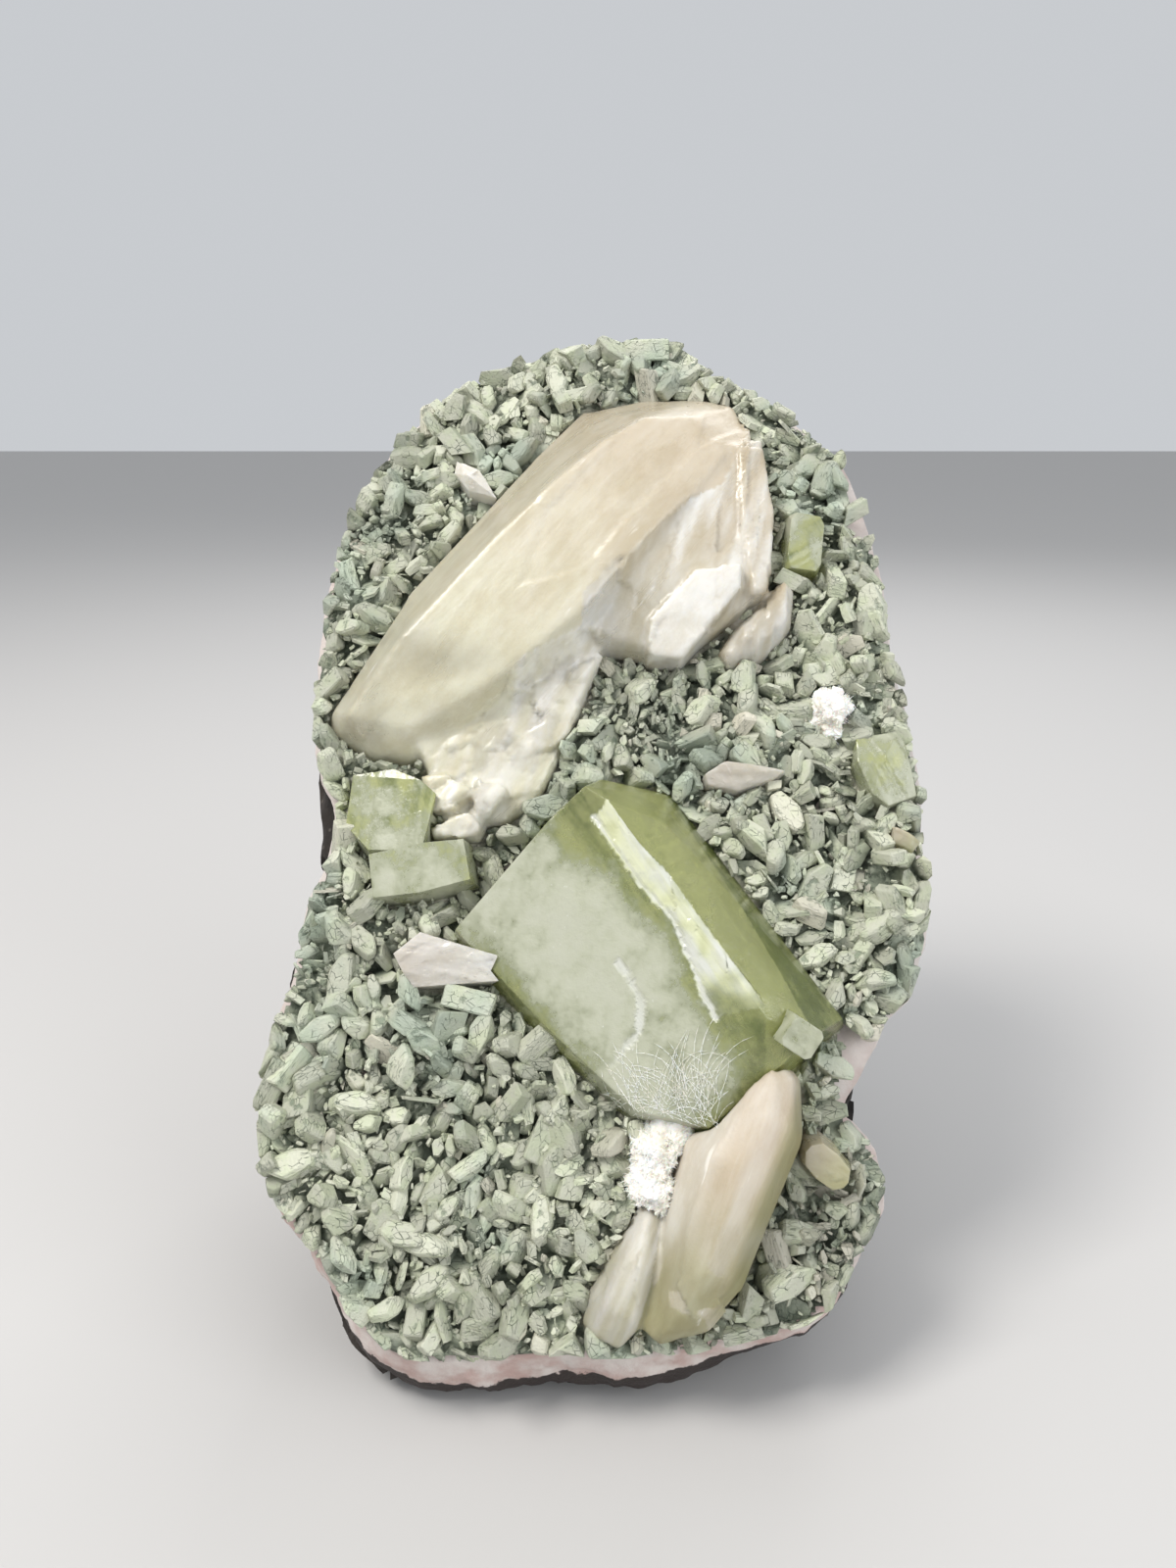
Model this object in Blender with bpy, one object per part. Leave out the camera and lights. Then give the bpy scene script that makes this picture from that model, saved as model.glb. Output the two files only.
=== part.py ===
# Heulandite with apophyllite and stilbite on basalt.
# A block of basalt stands on a flat cut. Its front face leans back and carries a thin layer of
# chalcedony, a carpet of heulandite crystals, and the large crystals that grew over the carpet.
# Everything is laid out on the face: u to the right, v up the face, w straight out of it.

import math
import random

import bmesh
import bpy
from mathutils import Euler, Matrix, Vector, noise
from mathutils.bvhtree import BVHTree

MM = 0.001

# The face and its place above the floor
FACE_LEAN = math.radians(33.0)
FACE_FOOT = 13.0
FACE_MIDDLE = (1.0, 58.0)
OBJECT_SHIFT = (-1.8, -41.3)

# Edge of the crystal face, clockwise from the top
FACE_EDGE = (
    (2.0, 140.0), (13.0, 140.0), (19.0, 135.0), (27.5, 130.0), (34.5, 124.0), (38.5, 119.5),
    (41.0, 112.0), (43.0, 101.0), (43.5, 90.5), (45.2, 80.5), (46.5, 67.0), (46.0, 59.0),
    (46.5, 52.5), (45.5, 48.0), (43.2, 40.5), (39.5, 36.5), (36.0, 30.0), (33.5, 25.5),
    (36.5, 21.5), (38.0, 15.5), (35.5, 9.5), (30.5, 2.0), (24.5, -1.0), (17.0, -2.5),
    (6.0, -4.0), (-5.0, -3.6), (-16.0, -4.6), (-23.0, -4.0), (-27.6, -0.8), (-31.4, 3.8),
    (-35.5, 9.0), (-40.0, 14.0), (-42.5, 21.0), (-43.0, 28.0), (-41.5, 36.5), (-39.5, 43.5),
    (-38.5, 52.0), (-36.5, 57.0), (-35.0, 65.5), (-37.5, 70.5), (-39.0, 79.0), (-38.7, 88.0),
    (-38.0, 99.0), (-35.0, 110.5), (-30.0, 121.0), (-23.5, 129.0), (-15.0, 134.5), (-5.0, 138.5),
)

# Corners closer than this are one corner
MERGE_DISTANCE = 0.001
# A cutter's corners move out by at most this many gaps, and a second, tighter cut clears creases
SHELL_LIMIT = 1.8
CORNER_SHARE = 0.3
# Faces that meet at less than these angles are one flat face, in a hull and in a finished body
HULL_FLATNESS = math.radians(1.0)
BODY_FLATNESS = math.radians(0.5)

# Layers of the plate, measured along w
GAP = 0.3
DRUSE_TOP = 0.6
DRUSE_UNDER = -0.8
LAYER_TOP = DRUSE_UNDER - GAP
LAYER_CORE = LAYER_TOP - 1.2
LAYER_EDGE_THIN = 1.6
LAYER_EDGE_THICK = 4.4
LAYER_CORE_SHARE = 0.86
LAYER_THICK_UNDER = 32.0
LAYER_THICK_FADE = 34.0
LAYER_NOTCH = (35.0, 26.0)
LAYER_NOTCH_REACH = 12.0
LAYER_NOTCH_CORE = 1.6

# How far the block spreads out behind the face for each millimetre of depth: nearly straight
# back at the top, wide at the foot, and less wide towards the left and right corners
SIDE_SLOPE_TOP = 0.06
SIDE_SLOPE_FOOT = 0.86
SIDE_SLOPE_UNDER = 16.0
SIDE_SLOPE_FADE = 19.0
SIDE_LEFT_FROM = -38.0
SIDE_LEFT_FADE = 22.0
SIDE_LEFT_LEAST = 0.45
SIDE_RIGHT_FROM = 8.0
SIDE_RIGHT_FADE = 16.0
SIDE_RIGHT_LEAST = 0.38
SIDE_SPREAD_DEPTH = 8.0
SIDE_SPREAD_RATE = 60.0

# Thickness of the basalt behind the face, as (v, thickness)
BASALT_DEPTH = (
    (-12.0, 52.0), (20.0, 64.0), (55.0, 66.0), (80.0, 58.0), (100.0, 46.0), (120.0, 32.0),
    (140.0, 14.0),
)
BASALT_RINGS = (0.10, 0.20, 0.34, 0.50, 0.66, 0.80, 0.91, 0.98)
BASALT_ROUNDING = 2.8
BASALT_RELIEF = 2.4
BASALT_GRAIN = 17.0
BASALT_SMOOTHING = 26
BASALT_RELIEF_FROM = 0.2
# The fracture planes leave the rock at least this deep behind the face
BASALT_LEAST = 7.5
# Fracture planes of the broken sides and back, as (azimuth, elevation, distance) about a point
# above the middle of the base
FRACTURE_HEIGHT = 45.0
FRACTURE_FROM = 0.15
FRACTURES = (
    (90.0, 3.0, 46.0), (52.0, 14.0, 47.5), (130.0, 9.0, 46.0), (14.0, -8.0, 42.5),
    (168.0, -4.0, 42.0), (94.0, -38.0, 62.0),
)

# The heulandite carpet: spacing and size of its crystals, their width and thickness as shares
# of the length, their lean and roll in degrees, and the height of their middles over the crust
DRUSE_SPACING = 4.6
DRUSE_LENGTH = (5.4, 8.2)
DRUSE_WIDTH = (0.50, 0.66)
DRUSE_THICKNESS = (0.34, 0.48)
DRUSE_LEAN = (8.0, 58.0)
DRUSE_ROLL = (-38.0, 38.0)
DRUSE_RISE = (0.6, 1.5)
DRUSE_EDGE_STEP = (0.5, 1.3)
DRUSE_INSET = 2.4
DRUSE_CLEARANCE = 1.4
CLEARANCE_RAYS = 6
RAY_START = 80.0
DRUSE_ROOT = -0.4
DRUSE_GAP = 0.42
DRUSE_TRIES = 5000
DRUSE_SEED = 41

# The long stilbite sheaf, as corners of its outline and of its upper faces
SHEAF_CORNERS = (
    (-36.1, 79.0, 3.0), (-25.4, 97.2, 3.6), (-7.6, 118.8, 4.0), (-0.8, 126.9, 3.0),
    (8.4, 129.2, 2.6), (17.0, 129.4, 2.6), (21.8, 128.0, 3.0), (23.8, 121.6, 5.0),
    (20.5, 113.4, 7.0), (8.6, 98.8, 7.6), (0.0, 87.7, 6.6), (-9.6, 81.0, 5.4),
    (-19.8, 74.4, 3.8), (-24.7, 72.4, 3.0), (-30.0, 73.2, 2.8), (-35.0, 76.2, 2.8),
    (-32.6, 77.8, 7.6), (-25.2, 87.8, 10.8), (-13.5, 100.9, 12.6), (-5.0, 109.6, 13.0),
    (1.8, 116.2, 12.4), (8.2, 121.4, 10.4), (15.0, 122.4, 8.8), (19.4, 116.4, 9.0),
    (13.8, 108.4, 11.0), (6.7, 100.1, 12.4), (0.0, 91.9, 12.2), (-11.9, 82.2, 10.4),
    (-24.1, 75.9, 7.0),
)

# Cross-section of the rounded blades, as (side, rise) in shares of the half width and the height
BLADE_PROFILE = (
    (-1.0, 0.0), (-0.92, 0.45), (-0.55, 0.88), (0.0, 1.0), (0.52, 0.86), (0.90, 0.44), (1.0, 0.0),
)

# Pearly fan beside the sheaf, as corners of the upper faces of its parts: the body, the plates
# along its right edge and its bright plate. A rounded blade closes it below.
FAN_PARTS = (
    ((20.6, 118.4, 8.0), (19.0, 111.0, 9.0), (14.4, 107.7, 10.0), (8.3, 101.0, 10.5),
     (2.8, 96.2, 10.5), (0.0, 89.8, 9.0), (1.6, 88.4, 6.5), (25.3, 120.7, 5.5), (26.4, 109.5, 5.5),
     (25.5, 97.2, 5.5), (21.3, 97.0, 6.0), (12.8, 87.0, 4.6), (8.5, 87.4, 5.0), (5.5, 88.7, 5.5)),
    ((22.3, 117.7, 8.0), (25.4, 119.0, 7.0), (26.4, 108.6, 7.2), (25.6, 96.6, 6.8),
     (23.1, 95.4, 7.6), (22.0, 107.9, 8.6)),
    ((8.7, 91.4, 8.6), (15.0, 98.4, 9.4), (21.5, 99.5, 9.0), (21.5, 96.4, 8.0), (13.1, 86.2, 6.4),
     (8.4, 86.6, 6.8)),
)
FAN_EDGE = ((28.4, 98.2, 1.4, 4.0), (26.6, 93.4, 2.9, 5.4), (22.6, 89.4, 3.1, 5.2), (19.2, 86.8, 1.6, 3.4))

# The paler mass under the foot of the sheaf, as corners of its upper face, then two rounded
# plates and a ribbed one that stand in it
LOWER_MASS = (
    (-23.5, 74.5, 5.0), (-20.5, 68.0, 3.6), (-15.5, 64.0, 3.4), (-11.5, 63.8, 3.2),
    (-7.0, 67.0, 3.2), (-4.5, 73.0, 3.6), (-1.0, 80.0, 4.4), (2.5, 89.5, 6.0), (-9.0, 88.0, 7.0),
)
MASS_PLATES = (
    ((-22.9, 69.7, 5.2), (-19.3, 69.9, 6.0), (-15.4, 67.2, 6.2), (-18.6, 64.6, 6.4),
     (-21.2, 64.3, 5.4)),
    ((-21.0, 62.8, 5.4), (-16.2, 64.3, 6.2), (-14.3, 62.4, 6.0), (-15.0, 61.0, 5.6),
     (-21.0, 60.9, 5.0)),
    ((-14.8, 69.0, 5.2), (-11.2, 67.9, 4.8), (-12.2, 66.0, 4.6), (-14.0, 63.5, 4.8),
     (-15.6, 65.6, 6.2)),
)

# The stilbite bow-tie at the lower right, as (u, v, half width, height) from its top down
BOWTIE_SPINE = (
    (21.6, 33.4, 1.8, 8.0), (22.8, 29.4, 4.6, 11.0), (21.5, 24.4, 6.4, 12.5),
    (18.0, 18.8, 7.2, 12.5), (15.9, 13.0, 6.6, 12.0), (13.9, 7.0, 5.9, 10.5),
    (11.2, 2.3, 4.8, 8.0), (7.6, -1.0, 1.8, 4.5),
)
BOWTIE_LOBE = (
    (8.0, 13.6, 1.6, 4.0), (6.2, 7.6, 3.2, 6.5), (3.6, 2.2, 3.9, 6.0), (1.4, -1.4, 2.8, 3.6))

# The large apophyllite: its frosted face, two side faces and the foot on the crust
APOPHYLLITE_CORNERS = (
    (-17.5, 48.5, 5.5), (-5.0, 62.0, 11.2), (-0.5, 66.0, 13.1), (2.5, 64.0, 13.5),
    (22.0, 36.5, 13.0), (15.0, 23.5, 8.7), (6.0, 25.5, 6.9), (-5.5, 36.0, 6.1),
    (10.0, 61.5, 11.4), (28.0, 34.5, 10.9), (10.7, 67.2, 3.6), (33.0, 37.0, 5.0),
    (26.5, 31.0, 2.8), (1.8, 68.6, 7.0),
    (-18.4, 47.4, 0.9), (-6.2, 63.2, 0.9), (1.4, 70.0, 0.9), (11.6, 68.0, 0.9), (34.0, 36.2, 0.9),
    (26.6, 30.4, 0.9), (14.6, 22.4, 0.9), (5.0, 24.4, 0.9), (-6.6, 35.0, 0.9),
)

# Two apophyllite blocks grown into each other at the left edge, by their upper faces
LEFT_BLOCKS = (
    ((-32.1, 69.7, 5.0), (-26.4, 70.3, 6.0), (-22.6, 68.5, 7.0), (-20.5, 66.7, 6.6),
     (-22.0, 59.5, 6.8), (-24.1, 58.9, 6.4), (-29.5, 59.3, 5.2), (-32.8, 62.8, 4.6)),
    ((-29.2, 58.4, 6.4), (-21.7, 59.8, 7.4), (-16.5, 60.2, 7.8), (-15.5, 54.9, 7.4),
     (-22.3, 53.2, 6.8), (-28.4, 52.7, 5.8)),
)

# Single crystals by the corners of their upper faces: name, finish, corners
SHARDS = (
    ("apophyllite_right", "apophyllite", (
        (37.1, 75.3, 4.6), (42.6, 75.9, 5.0), (43.8, 74.6, 4.6), (45.2, 67.2, 3.6),
        (41.0, 65.6, 4.2), (38.8, 67.2, 4.6), (36.9, 71.6, 5.2), (40.1, 71.1, 5.6))),
    ("stilbite_blade", "stilbite_pink", (
        (-21.9, 48.0, 6.8), (-25.4, 45.3, 6.0), (-24.2, 43.0, 5.4), (-22.8, 41.1, 4.6),
        (-18.0, 41.8, 5.2), (-11.6, 41.8, 5.6), (-11.8, 45.0, 6.6), (-16.8, 46.3, 7.0))),
    ("stilbite_flake", "stilbite_pink", (
        (16.0, 70.0, 4.6), (18.8, 71.7, 5.4), (24.1, 70.9, 5.4), (27.2, 70.6, 4.4),
        (25.6, 69.5, 4.2), (20.4, 67.8, 4.2), (16.4, 68.6, 4.0))),
    ("stilbite_bud", "stilbite", (
        (-19.4, 118.1, 4.2), (-15.9, 115.8, 5.6), (-13.4, 112.1, 4.2), (-17.5, 113.1, 4.4),
        (-19.7, 116.1, 4.0), (-17.4, 114.5, 6.2))),
    ("stilbite_lobe_edge", "stilbite", (
        (41.6, 62.8, 4.4), (43.6, 61.6, 5.0), (45.2, 60.7, 3.6), (44.0, 59.3, 3.8),
        (41.6, 60.6, 3.6))),
)

# Outlines of the crystal habits, in shares of length and width
COFFIN_OUTLINE = (
    (0.50, 0.16), (0.12, 0.50), (-0.50, 0.26), (-0.50, -0.16), (-0.12, -0.50), (0.50, -0.26))
BLADE_OUTLINE = (
    (0.50, 0.10), (0.36, 0.42), (0.0, 0.50), (-0.36, 0.42), (-0.50, 0.12),
    (-0.50, -0.14), (-0.34, -0.44), (0.02, -0.50), (0.38, -0.40), (0.50, -0.12))
BLADE_TOP_LENGTH = 0.84
BLADE_TOP_WIDTH = 0.78
BLOCK_CUT = 0.30
FOOT_SPREAD = 0.8
SHARD_SPREAD = 0.3
LUMP_RELIEF = 0.24
LUMP_GRAIN = 1.7

# Lumps of fine white fibres: name, middle, half sizes, seed of the relief
LUMPS = (
    ("mordenite_puff", (9.6, 18.4, 2.4), (4.8, 6.6, 4.6), 3.0),
    ("mordenite_tuft", (34.2, 79.4, 2.4), (2.8, 3.6, 3.4), 8.0),
)

# Single crystals by their habit: name, habit, finish, middle, length and width and thickness, then the angle
# around w, the lean along the length and the roll
SMALL_CRYSTALS = (
    ("apophyllite_upper", "block", "apophyllite", (31.0, 104.6, 3.0), (5.0, 8.4, 5.4), -6.0, 8.0, 5.0),
    ("apophyllite_tip", "block", "apophyllite", (25.6, 34.6, 12.6), (4.4, 4.0, 5.0), -32.0, 14.0, 8.0),
    ("stilbite_lobe_right", "blade", "stilbite", (30.0, 19.2, 3.6), (7.6, 5.2, 4.4), -44.0, 6.0, 10.0),
)

MATERIALS = {
    "basalt": ((0.045, 0.036, 0.030), 0.92, 0.0, 1.0),
    "chalcedony": ((0.72, 0.52, 0.47), 0.62, 0.0, 1.0),
    "heulandite": ((0.38, 0.46, 0.34), 0.48, 0.0, 1.0),
    "stilbite": ((0.78, 0.67, 0.50), 0.32, 0.0, 1.0),
    "stilbite_pink": ((0.80, 0.62, 0.54), 0.36, 0.0, 1.0),
    "apophyllite": ((0.50, 0.66, 0.28), 0.12, 0.55, 1.535),
    "mordenite": ((0.90, 0.88, 0.84), 0.80, 0.0, 1.0),
}


def clear_scene():
    for item in list(bpy.data.objects):
        bpy.data.objects.remove(item, do_unlink=True)


def make_material(name):
    colour, roughness, transmission, ior = MATERIALS[name]
    material = bpy.data.materials.new(name)
    material.use_nodes = True
    shader = material.node_tree.nodes["Principled BSDF"]
    shader.inputs["Base Color"].default_value = (*colour, 1.0)
    shader.inputs["Roughness"].default_value = roughness
    shader.inputs["Metallic"].default_value = 0.0
    if transmission:
        shader.inputs["Transmission Weight"].default_value = transmission
        shader.inputs["IOR"].default_value = ior
    return material


def make_face_frame():
    frame = bpy.data.objects.new("face_frame", None)
    frame.rotation_euler = Euler((math.pi / 2 - FACE_LEAN, 0.0, 0.0))
    frame.location = (OBJECT_SHIFT[0] * MM, OBJECT_SHIFT[1] * MM, FACE_FOOT * MM)
    bpy.context.scene.collection.objects.link(frame)
    return frame


def add_solid(name, bm, material, frame):
    # A bmesh in millimetres of the face becomes an object in metres
    bmesh.ops.scale(bm, vec=(MM, MM, MM), verts=bm.verts)
    bmesh.ops.recalc_face_normals(bm, faces=bm.faces)
    mesh = bpy.data.meshes.new(name)
    bm.to_mesh(mesh)
    bm.free()
    mesh.materials.append(material)
    solid = bpy.data.objects.new(name, mesh)
    solid.parent = frame
    bpy.context.scene.collection.objects.link(solid)
    return solid


def lerp_table(table, x):
    if x <= table[0][0]:
        return table[0][1]
    for (x0, y0), (x1, y1) in zip(table, table[1:]):
        if x <= x1:
            return y0 + (y1 - y0) * (x - x0) / (x1 - x0)
    return table[-1][1]


def smooth_step(x):
    x = max(0.0, min(1.0, x))
    return x * x * (3.0 - 2.0 * x)


def relax(outline, passes):
    points = [Vector(p) for p in outline]
    for _ in range(passes):
        count = len(points)
        points = [
            points[i] * 0.5 + (points[i - 1] + points[(i + 1) % count]) * 0.25
            for i in range(count)
        ]
    return points


def grow(outline, amount):
    # Moves each point of a clockwise outline outwards; amount is a number or a function
    count = len(outline)
    grown = []
    for i, point in enumerate(outline):
        along = Vector(outline[(i + 1) % count]) - Vector(outline[i - 1])
        outwards = Vector((-along.y, along.x)).normalized()
        distance = amount(point) if callable(amount) else amount
        grown.append(Vector(point) + outwards * distance)
    return grown


def scaled(outline, factor):
    middle = Vector(FACE_MIDDLE)
    return [middle + (Vector(p) - middle) * factor for p in outline]


def add_ring(bm, points):
    return [bm.verts.new(p) for p in points]


def bridge(bm, lower, upper):
    count = len(lower)
    for i in range(count):
        j = (i + 1) % count
        bm.faces.new((lower[i], lower[j], upper[j], upper[i]))


def loft(rings):
    # Closed rings of equal length, joined in order, with a flat cap at each end
    bm = bmesh.new()
    loops = [add_ring(bm, ring) for ring in rings]
    for lower, upper in zip(loops, loops[1:]):
        bridge(bm, lower, upper)
    bm.faces.new(loops[0])
    bm.faces.new(reversed(loops[-1]))
    bmesh.ops.triangulate(bm, faces=bm.faces)
    return bm


def hull(points):
    bm = bmesh.new()
    verts = [bm.verts.new(p) for p in points]
    result = bmesh.ops.convex_hull(bm, input=verts)
    spare = set(result["geom_interior"] + result["geom_unused"])
    bmesh.ops.delete(bm, geom=[v for v in bm.verts if v in spare], context="VERTS")
    bmesh.ops.dissolve_limit(bm, angle_limit=HULL_FLATNESS, verts=bm.verts, edges=bm.edges)
    bmesh.ops.triangulate(bm, faces=bm.faces)
    return bm


def trimmed(bm, place, outwards):
    # Cuts away what lies beyond a plane and closes the cut
    bmesh.ops.bisect_plane(
        bm, geom=bm.verts[:] + bm.edges[:] + bm.faces[:], plane_co=place, plane_no=outwards,
        clear_outer=True)
    bmesh.ops.holes_fill(bm, edges=[e for e in bm.edges if e.is_boundary])
    bmesh.ops.triangulate(bm, faces=bm.faces)
    return bm


def merge(bm, other):
    # Copies the faces of another bmesh into this one
    mesh = bpy.data.meshes.new("merge")
    other.to_mesh(mesh)
    other.free()
    bm.from_mesh(mesh)
    bpy.data.meshes.remove(mesh)


def apply_boolean(solid, tool, operation, use_self=False):
    modifier = solid.modifiers.new(operation.lower(), "BOOLEAN")
    modifier.operation = operation
    modifier.solver = "EXACT"
    modifier.object = tool
    modifier.use_self = use_self
    depsgraph = bpy.context.evaluated_depsgraph_get()
    result = bpy.data.meshes.new_from_object(solid.evaluated_get(depsgraph))
    solid.modifiers.clear()
    old = solid.data
    solid.data = result
    bpy.data.meshes.remove(old)


def keep_largest(bm):
    # Walks from face to face over shared edges, so that a body that only touches the largest one
    # at a corner is taken away too
    seen = set()
    groups = []
    for start in bm.faces:
        if start in seen:
            continue
        group = [start]
        seen.add(start)
        for face in group:
            for edge in face.edges:
                if len(edge.link_faces) != 2:
                    continue
                for other in edge.link_faces:
                    if other not in seen:
                        seen.add(other)
                        group.append(other)
        groups.append(group)
    groups.sort(key=len)
    for group in groups[:-1]:
        bmesh.ops.delete(bm, geom=group, context="FACES")


def clean(solid, merge_distance=MERGE_DISTANCE):
    bm = bmesh.new()
    bm.from_mesh(solid.data)
    keep_largest(bm)
    bmesh.ops.dissolve_limit(bm, angle_limit=BODY_FLATNESS, verts=bm.verts, edges=bm.edges)
    bmesh.ops.triangulate(bm, faces=bm.faces)
    bmesh.ops.remove_doubles(bm, verts=bm.verts, dist=merge_distance * MM)
    bmesh.ops.dissolve_degenerate(bm, dist=merge_distance * MM, edges=bm.edges)
    bmesh.ops.triangulate(bm, faces=bm.faces)
    keep_largest(bm)
    bm.to_mesh(solid.data)
    bm.free()


def swollen_copy(neighbour, gap):
    # A cutter: the neighbour with every face moved outwards by the gap
    bm = bmesh.new()
    bm.from_mesh(neighbour.data)
    bm.normal_update()
    moves = [v.normal * min(v.calc_shell_factor(), SHELL_LIMIT) * gap * MM for v in bm.verts]
    for vert, move in zip(bm.verts, moves):
        vert.co += move
    mesh = bpy.data.meshes.new("cutter")
    bm.to_mesh(mesh)
    bm.free()
    cutter = bpy.data.objects.new("cutter", mesh)
    cutter.parent = neighbour.parent
    cutter.hide_render = True
    cutter.display_type = "WIRE"
    bpy.context.scene.collection.objects.link(cutter)
    return cutter


def clear_of(solid, neighbours, gap=GAP):
    # Cuts a solid back until it keeps the gap to each neighbour, in its sharp corners too
    for neighbour in neighbours:
        for reach in (gap, gap * CORNER_SHARE):
            cutter = swollen_copy(neighbour, reach)
            apply_boolean(solid, cutter, "DIFFERENCE", use_self=True)
            bpy.data.objects.remove(cutter, do_unlink=True)
    clean(solid)


def fuse(name, shapes, material, frame):
    # Joins overlapping closed shapes into one body
    solid = add_solid(name, shapes[0], material, frame)
    for shape in shapes[1:]:
        tool = add_solid("fuse_tool", shape, material, frame)
        tool.hide_render = True
        tool.display_type = "WIRE"
        apply_boolean(solid, tool, "UNION")
        bpy.data.objects.remove(tool, do_unlink=True)
    clean(solid)
    return solid


def layer_edge(point):
    # Thickness of the chalcedony at the edge: thick along the bottom and in the right notch
    low = smooth_step((LAYER_THICK_UNDER - point[1]) / LAYER_THICK_FADE)
    away = (Vector(point) - Vector(LAYER_NOTCH)).length
    notch = smooth_step(LAYER_NOTCH_CORE - away / LAYER_NOTCH_REACH)
    return LAYER_EDGE_THIN + (LAYER_EDGE_THICK - LAYER_EDGE_THIN) * max(low, notch)


def side_slope(point):
    # How far the side of the block spreads out for each millimetre of depth
    low = smooth_step((SIDE_SLOPE_UNDER - point[1]) / SIDE_SLOPE_FADE)
    left_share = smooth_step((point[0] - SIDE_LEFT_FROM) / SIDE_LEFT_FADE)
    left = SIDE_LEFT_LEAST + (1.0 - SIDE_LEFT_LEAST) * left_share
    right_share = smooth_step((point[0] - SIDE_RIGHT_FROM) / SIDE_RIGHT_FADE)
    right = 1.0 - (1.0 - SIDE_RIGHT_LEAST) * right_share
    return SIDE_SLOPE_TOP + (SIDE_SLOPE_FOOT - SIDE_SLOPE_TOP) * low * min(left, right)


def basalt_ring(share):
    # One ring of the block at a share of its depth, rounded in towards the back
    outline = relax(FACE_EDGE, int(BASALT_SMOOTHING * share))
    narrowing = (1.0 - share ** BASALT_ROUNDING) ** (1.0 / BASALT_ROUNDING)
    ring = []
    reach = min(SIDE_SPREAD_DEPTH, share * SIDE_SPREAD_RATE)
    spread = grow(outline, lambda p: side_slope(p) * reach)
    for point in scaled(spread, narrowing):
        edge = layer_edge(point) - LAYER_TOP + GAP
        depth = edge + share * (lerp_table(BASALT_DEPTH, point[1]) - edge)
        ring.append(Vector((point[0], point[1], -depth)))
    return ring


def roughen(ring, share, to_world):
    # Broken rock: a slow relief, then flat fracture planes on the sides and the back
    strength = BASALT_RELIEF * smooth_step(share / BASALT_RELIEF_FROM)
    rough = []
    for point in ring:
        moved = point + noise.noise_vector(point / BASALT_GRAIN) * strength
        shallowest = max(moved.z, -BASALT_LEAST)
        for azimuth, elevation, distance in FRACTURES if share > FRACTURE_FROM else ():
            a = math.radians(azimuth)
            e = math.radians(elevation)
            world_normal = Vector((math.cos(e) * math.cos(a), math.cos(e) * math.sin(a), math.sin(e)))
            place = to_world @ moved - Vector((0.0, 0.0, FRACTURE_HEIGHT))
            beyond = place.dot(world_normal) - distance
            if beyond > 0.0:
                moved = moved - to_world.to_3x3().inverted() @ world_normal * beyond
        moved.z = min(moved.z, shallowest)
        rough.append(moved)
    return rough


def face_to_world():
    # Face millimetres to world millimetres
    place = Matrix.Translation((OBJECT_SHIFT[0], OBJECT_SHIFT[1], FACE_FOOT))
    return place @ Matrix.Rotation(math.pi / 2 - FACE_LEAN, 4, "X")


def layer_under_ring():
    # Lower edge of the chalcedony, which is also the upper edge of the basalt
    spread = grow(FACE_EDGE, lambda p: side_slope(p) * layer_edge(p))
    return [Vector((p[0], p[1], LAYER_TOP - layer_edge(p))) for p in spread]


def make_basalt(material, frame):
    to_world = face_to_world()
    under = layer_under_ring()
    inner = [Vector((p[0], p[1], LAYER_CORE - GAP)) for p in scaled(FACE_EDGE, LAYER_CORE_SHARE)]
    rings = [roughen(basalt_ring(share), share, to_world) for share in BASALT_RINGS[::-1]]
    rings += [[p - Vector((0.0, 0.0, GAP)) for p in under], inner]
    to_face = to_world.inverted()
    down = to_face.to_3x3() @ Vector((0.0, 0.0, -1.0))
    bm = trimmed(loft(rings), to_face @ Vector((0.0, 0.0, 0.0)), down)
    solid = add_solid("basalt_matrix", bm, material, frame)
    clean(solid)
    return solid


def make_layer(material, frame):
    inner = [Vector((p[0], p[1], LAYER_CORE)) for p in scaled(FACE_EDGE, LAYER_CORE_SHARE)]
    top = [Vector((p[0], p[1], LAYER_TOP)) for p in FACE_EDGE]
    return add_solid("chalcedony_layer", loft([inner, layer_under_ring(), top]), material, frame)


def profile_section(middle, across, half, height):
    base = DRUSE_TOP + GAP
    section = []
    for side, rise in BLADE_PROFILE:
        place = middle + across * (side * half)
        section.append(Vector((place.x, place.y, base + rise * height)))
    return section


def spine_shape(spine):
    # A rounded blade along a spine of (u, v, half width, height)
    rings = []
    for i, (u, v, half, height) in enumerate(spine):
        before = Vector(spine[max(i - 1, 0)][:2])
        after = Vector(spine[min(i + 1, len(spine) - 1)][:2])
        along = (after - before).normalized()
        across = Vector((along.y, -along.x))
        rings.append(profile_section(Vector((u, v)), across, half, height))
    return loft(rings)


def prism_shape(top, spread=FOOT_SPREAD):
    # A crystal given by the corners of its upper face, standing on the carpet's crust
    base = DRUSE_TOP + GAP
    middle = sum((Vector(p) for p in top), Vector()) / len(top)
    foot = []
    for point in top:
        outwards = Vector((point[0] - middle.x, point[1] - middle.y)).normalized() * spread
        foot.append((point[0] + outwards.x, point[1] + outwards.y, base))
    return hull(list(top) + foot)


def coffin_corners(length, width, thickness):
    # Heulandite habit: a tablet with a six-sided, coffin-like outline
    return [
        Vector((x * length, y * width, z * thickness))
        for z in (-0.5, 0.5) for x, y in COFFIN_OUTLINE]


def blade_corners(length, width, thickness):
    # Stilbite habit: a flattened blade with blunt, tapered ends
    low = [Vector((x * length, y * width, -0.5 * thickness)) for x, y in BLADE_OUTLINE]
    top_length = length * BLADE_TOP_LENGTH
    top_width = width * BLADE_TOP_WIDTH
    high = [Vector((x * top_length, y * top_width, 0.5 * thickness)) for x, y in BLADE_OUTLINE]
    return low + high


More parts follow.
